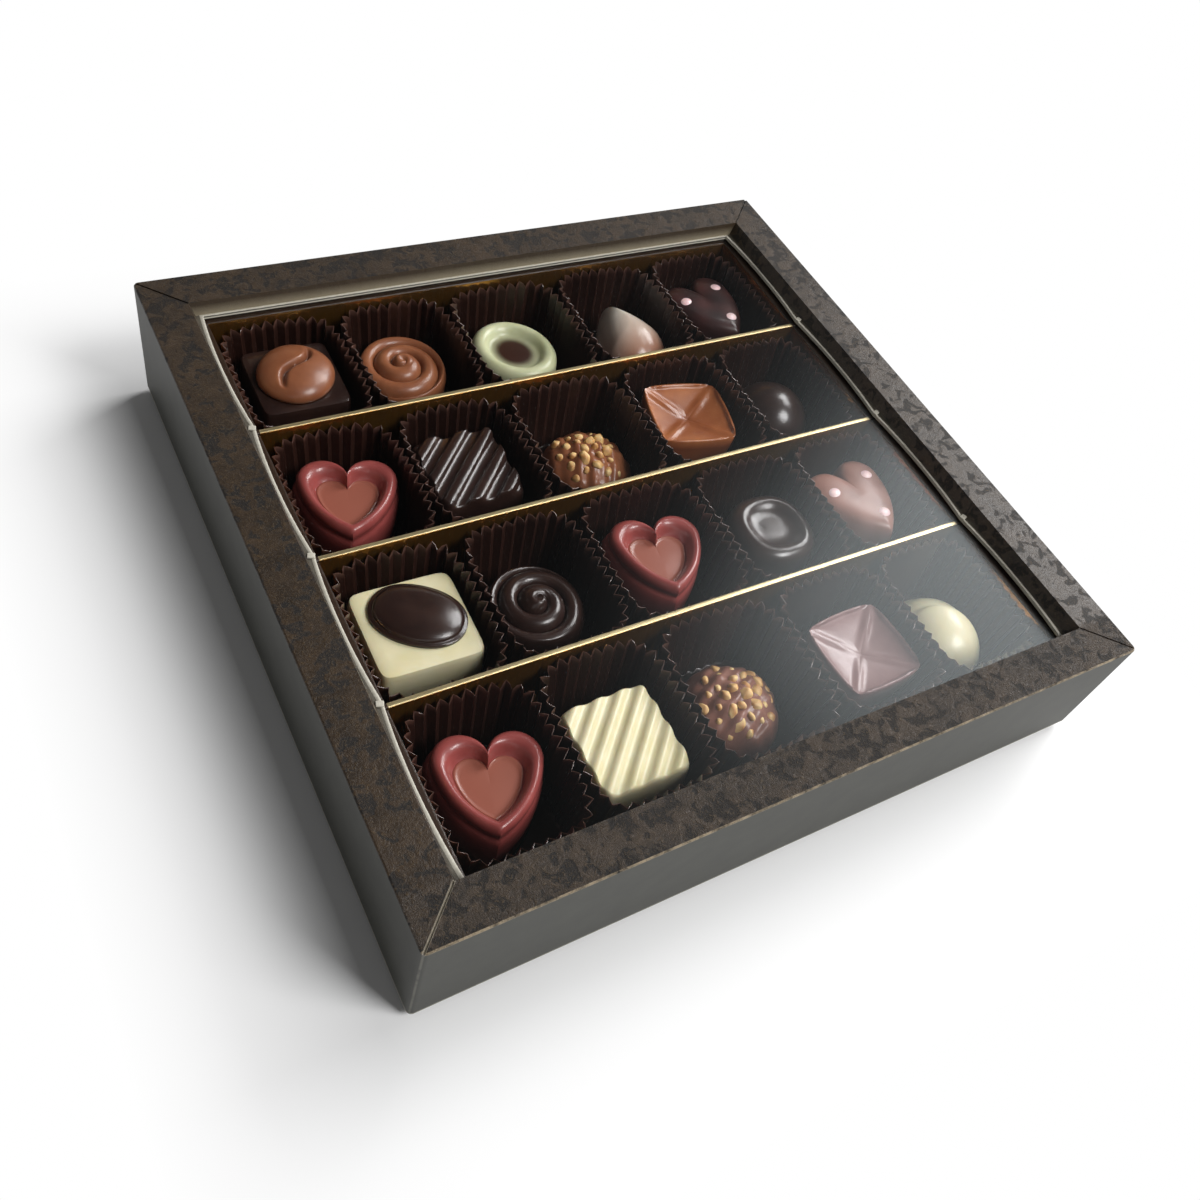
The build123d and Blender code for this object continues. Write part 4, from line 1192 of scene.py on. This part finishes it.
# %% Folded tabs
TAB_SIZE, TAB_TURN, TAB_PLACE = (1.8655, 1.5427, 0.5), 18, 86.3
nothing_selected()
bpy.ops.mesh.primitive_cube_add(size=MM, scale=TAB_SIZE)
first_tab = bpy.context.object
set_in_mesh(first_tab)
apply(first_tab, "BEVEL", width=0.2 * MM, segments=3)
smooth(first_tab)
tab_places = [(side, along) for side in (-1, 1) for along in pinches[1:-1]]
for tab, (side, along) in zip(with_copies(first_tab, ["folded_tab"] * len(tab_places)), tab_places):
    tab.location = (side * TAB_PLACE * MM, along * MM, PANEL_TOP + 0.25 * MM)
    tab.rotation_euler.z = radians(TAB_TURN * side)
    set_in_mesh(tab)
    tab.data.materials.append(board_core)
    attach(tab, "lid")
print("tabs:", len(tab_places))

# %% [markdown]
# The studio: a white paper floor that runs out of sight. Near the box it keeps the shadow. From 5 to
# 53 millimetres beyond the box's sides it fades into plain white, to the camera and in mirrors.

# %% The floor
FLOOR_SIZE, WHITE_FROM, ALL_WHITE = 6, 105 * MM, 153 * MM
WHITE = (1, 1, 1, 1)
nothing_selected()
bpy.ops.mesh.primitive_plane_add(size=FLOOR_SIZE)
floor_plane = bpy.context.object
floor_plane.name = "studio_floor"
floor_finish, surface, place = new_finish("white_studio_paper")
fill(floor_finish, surface, {"Base Color": colour("fafafa"), "Roughness": 0.9, "Specular IOR Level": 0.0})
floor_spot = add(floor_finish, "ShaderNodeSeparateXYZ", {"Vector": place}).outputs
floor_x, floor_y = [
    add(floor_finish, "ShaderNodeMath", {0: floor_spot[axis]}, operation="ABSOLUTE") for axis in "XY"]
reach = add(floor_finish, "ShaderNodeMath", {0: floor_x, 1: floor_y}, operation="MAXIMUM")
far_off = add(floor_finish, "ShaderNodeMapRange", {
    "Value": reach, "From Min": WHITE_FROM, "From Max": ALL_WHITE})
ray = add(floor_finish, "ShaderNodeLightPath").outputs
shown = add(floor_finish, "ShaderNodeMath", {
    0: ray["Is Camera Ray"], 1: ray["Is Glossy Ray"]}, operation="MAXIMUM")
shown = add(floor_finish, "ShaderNodeMath", {0: shown, 1: ray["Is Transmission Ray"]}, operation="MAXIMUM")
white_share = add(floor_finish, "ShaderNodeMath", {0: far_off, 1: shown}, operation="MULTIPLY")
white_card = add(floor_finish, "ShaderNodeEmission", {"Color": WHITE, "Strength": 1.0})
floor_mix = add(floor_finish, "ShaderNodeMixShader", {0: white_share, 1: surface, 2: white_card})
fill(floor_finish, floor_finish.node_tree.nodes["Material Output"], {"Surface": floor_mix})
floor_plane.data.materials.append(floor_finish)
print("floor:", FLOOR_SIZE, "m wide")

# %% [markdown]
# Two softboxes light the box: a large one high on the right, and a smaller one in front. A black
# flag hangs over and behind it, out of the camera's sight, so that the film and the gold mirror
# something dark and the sweets keep their depth.

# %% Lamps and flag
def lamp(name, place, target, size, power):
    data = bpy.data.lights.new(name, "AREA")
    data.shape = "RECTANGLE"
    data.size, data.size_y = size
    data.energy = power
    lamp_object = bpy.data.objects.new(name, data)
    bpy.context.scene.collection.objects.link(lamp_object)
    lamp_object.location = place
    lamp_object.rotation_euler = (Vector(target) - Vector(place)).to_track_quat("-Z", "Y").to_euler()


lamp("key_softbox", (1.25, 0.3, 1.0), (0.02, 0.0, 0.03), (0.8, 0.9), 23)
lamp("front_softbox", (0.6, -0.85, 1.2), (0.0, 0.0, 0.02), (0.6, 0.6), 18)

nothing_selected()
bpy.ops.mesh.primitive_plane_add(size=1, location=(0.0, 0.83, 1.6))
flag = bpy.context.object
flag.name = "black_flag"
flag.scale = (6.4, 5.9, 1)
set_in_mesh(flag)
flag.visible_camera = False
flag.visible_diffuse = False
flag.visible_shadow = False
black_cloth, surface, place = new_finish("black_cloth")
fill(black_cloth, surface, {"Base Color": colour("0c0c0d"), "Roughness": 1.0})
flag.data.materials.append(black_cloth)
print("lamps:", len(bpy.data.lights))

# %% [markdown]
# The air gives a little even light to matt surfaces, and is plain white to the camera, in mirrors
# and through the film.

# %% The world
AIR_LIGHT = 0.115
world = bpy.data.worlds.new("studio_air")
bpy.context.scene.world = world
world.use_nodes = True
rays = add(world, "ShaderNodeLightPath").outputs
mirrored = add(world, "ShaderNodeMath", {
    0: rays["Is Glossy Ray"], 1: rays["Is Transmission Ray"]}, operation="MAXIMUM")
seen = add(world, "ShaderNodeMath", {0: rays["Is Camera Ray"], 1: mirrored}, operation="MAXIMUM")
strength = add(world, "ShaderNodeMapRange", {"Value": seen, "To Min": AIR_LIGHT, "To Max": 1.0})
fill(world, world.node_tree.nodes["Background"], {"Color": WHITE, "Strength": strength})
print("light of the air on matt surfaces:", AIR_LIGHT)

# %% [markdown]
# The camera stands where the photographer stood: a little to the left in front of the box, looking
# down at it, with the box turned in the picture. Its place, turn and lens were fitted to the box's
# corners in the photograph.

# %% Camera
CAMERA_PLACE = (-0.1440, -0.1577, 0.2449)
CAMERA_TURN = (0.6511, -0.2097, -0.4909)
camera_data = bpy.data.cameras.new("photographer")
camera = bpy.data.objects.new("photographer", camera_data)
bpy.context.scene.collection.objects.link(camera)
camera.location = CAMERA_PLACE
camera.rotation_euler = CAMERA_TURN
camera_data.sensor_width = 36
camera_data.lens = 33.84
camera_data.clip_start = 0.01
bpy.context.scene.camera = camera
bpy.context.scene.view_settings.view_transform = "Standard"
print("lens:", round(camera_data.lens, 2), "mm")
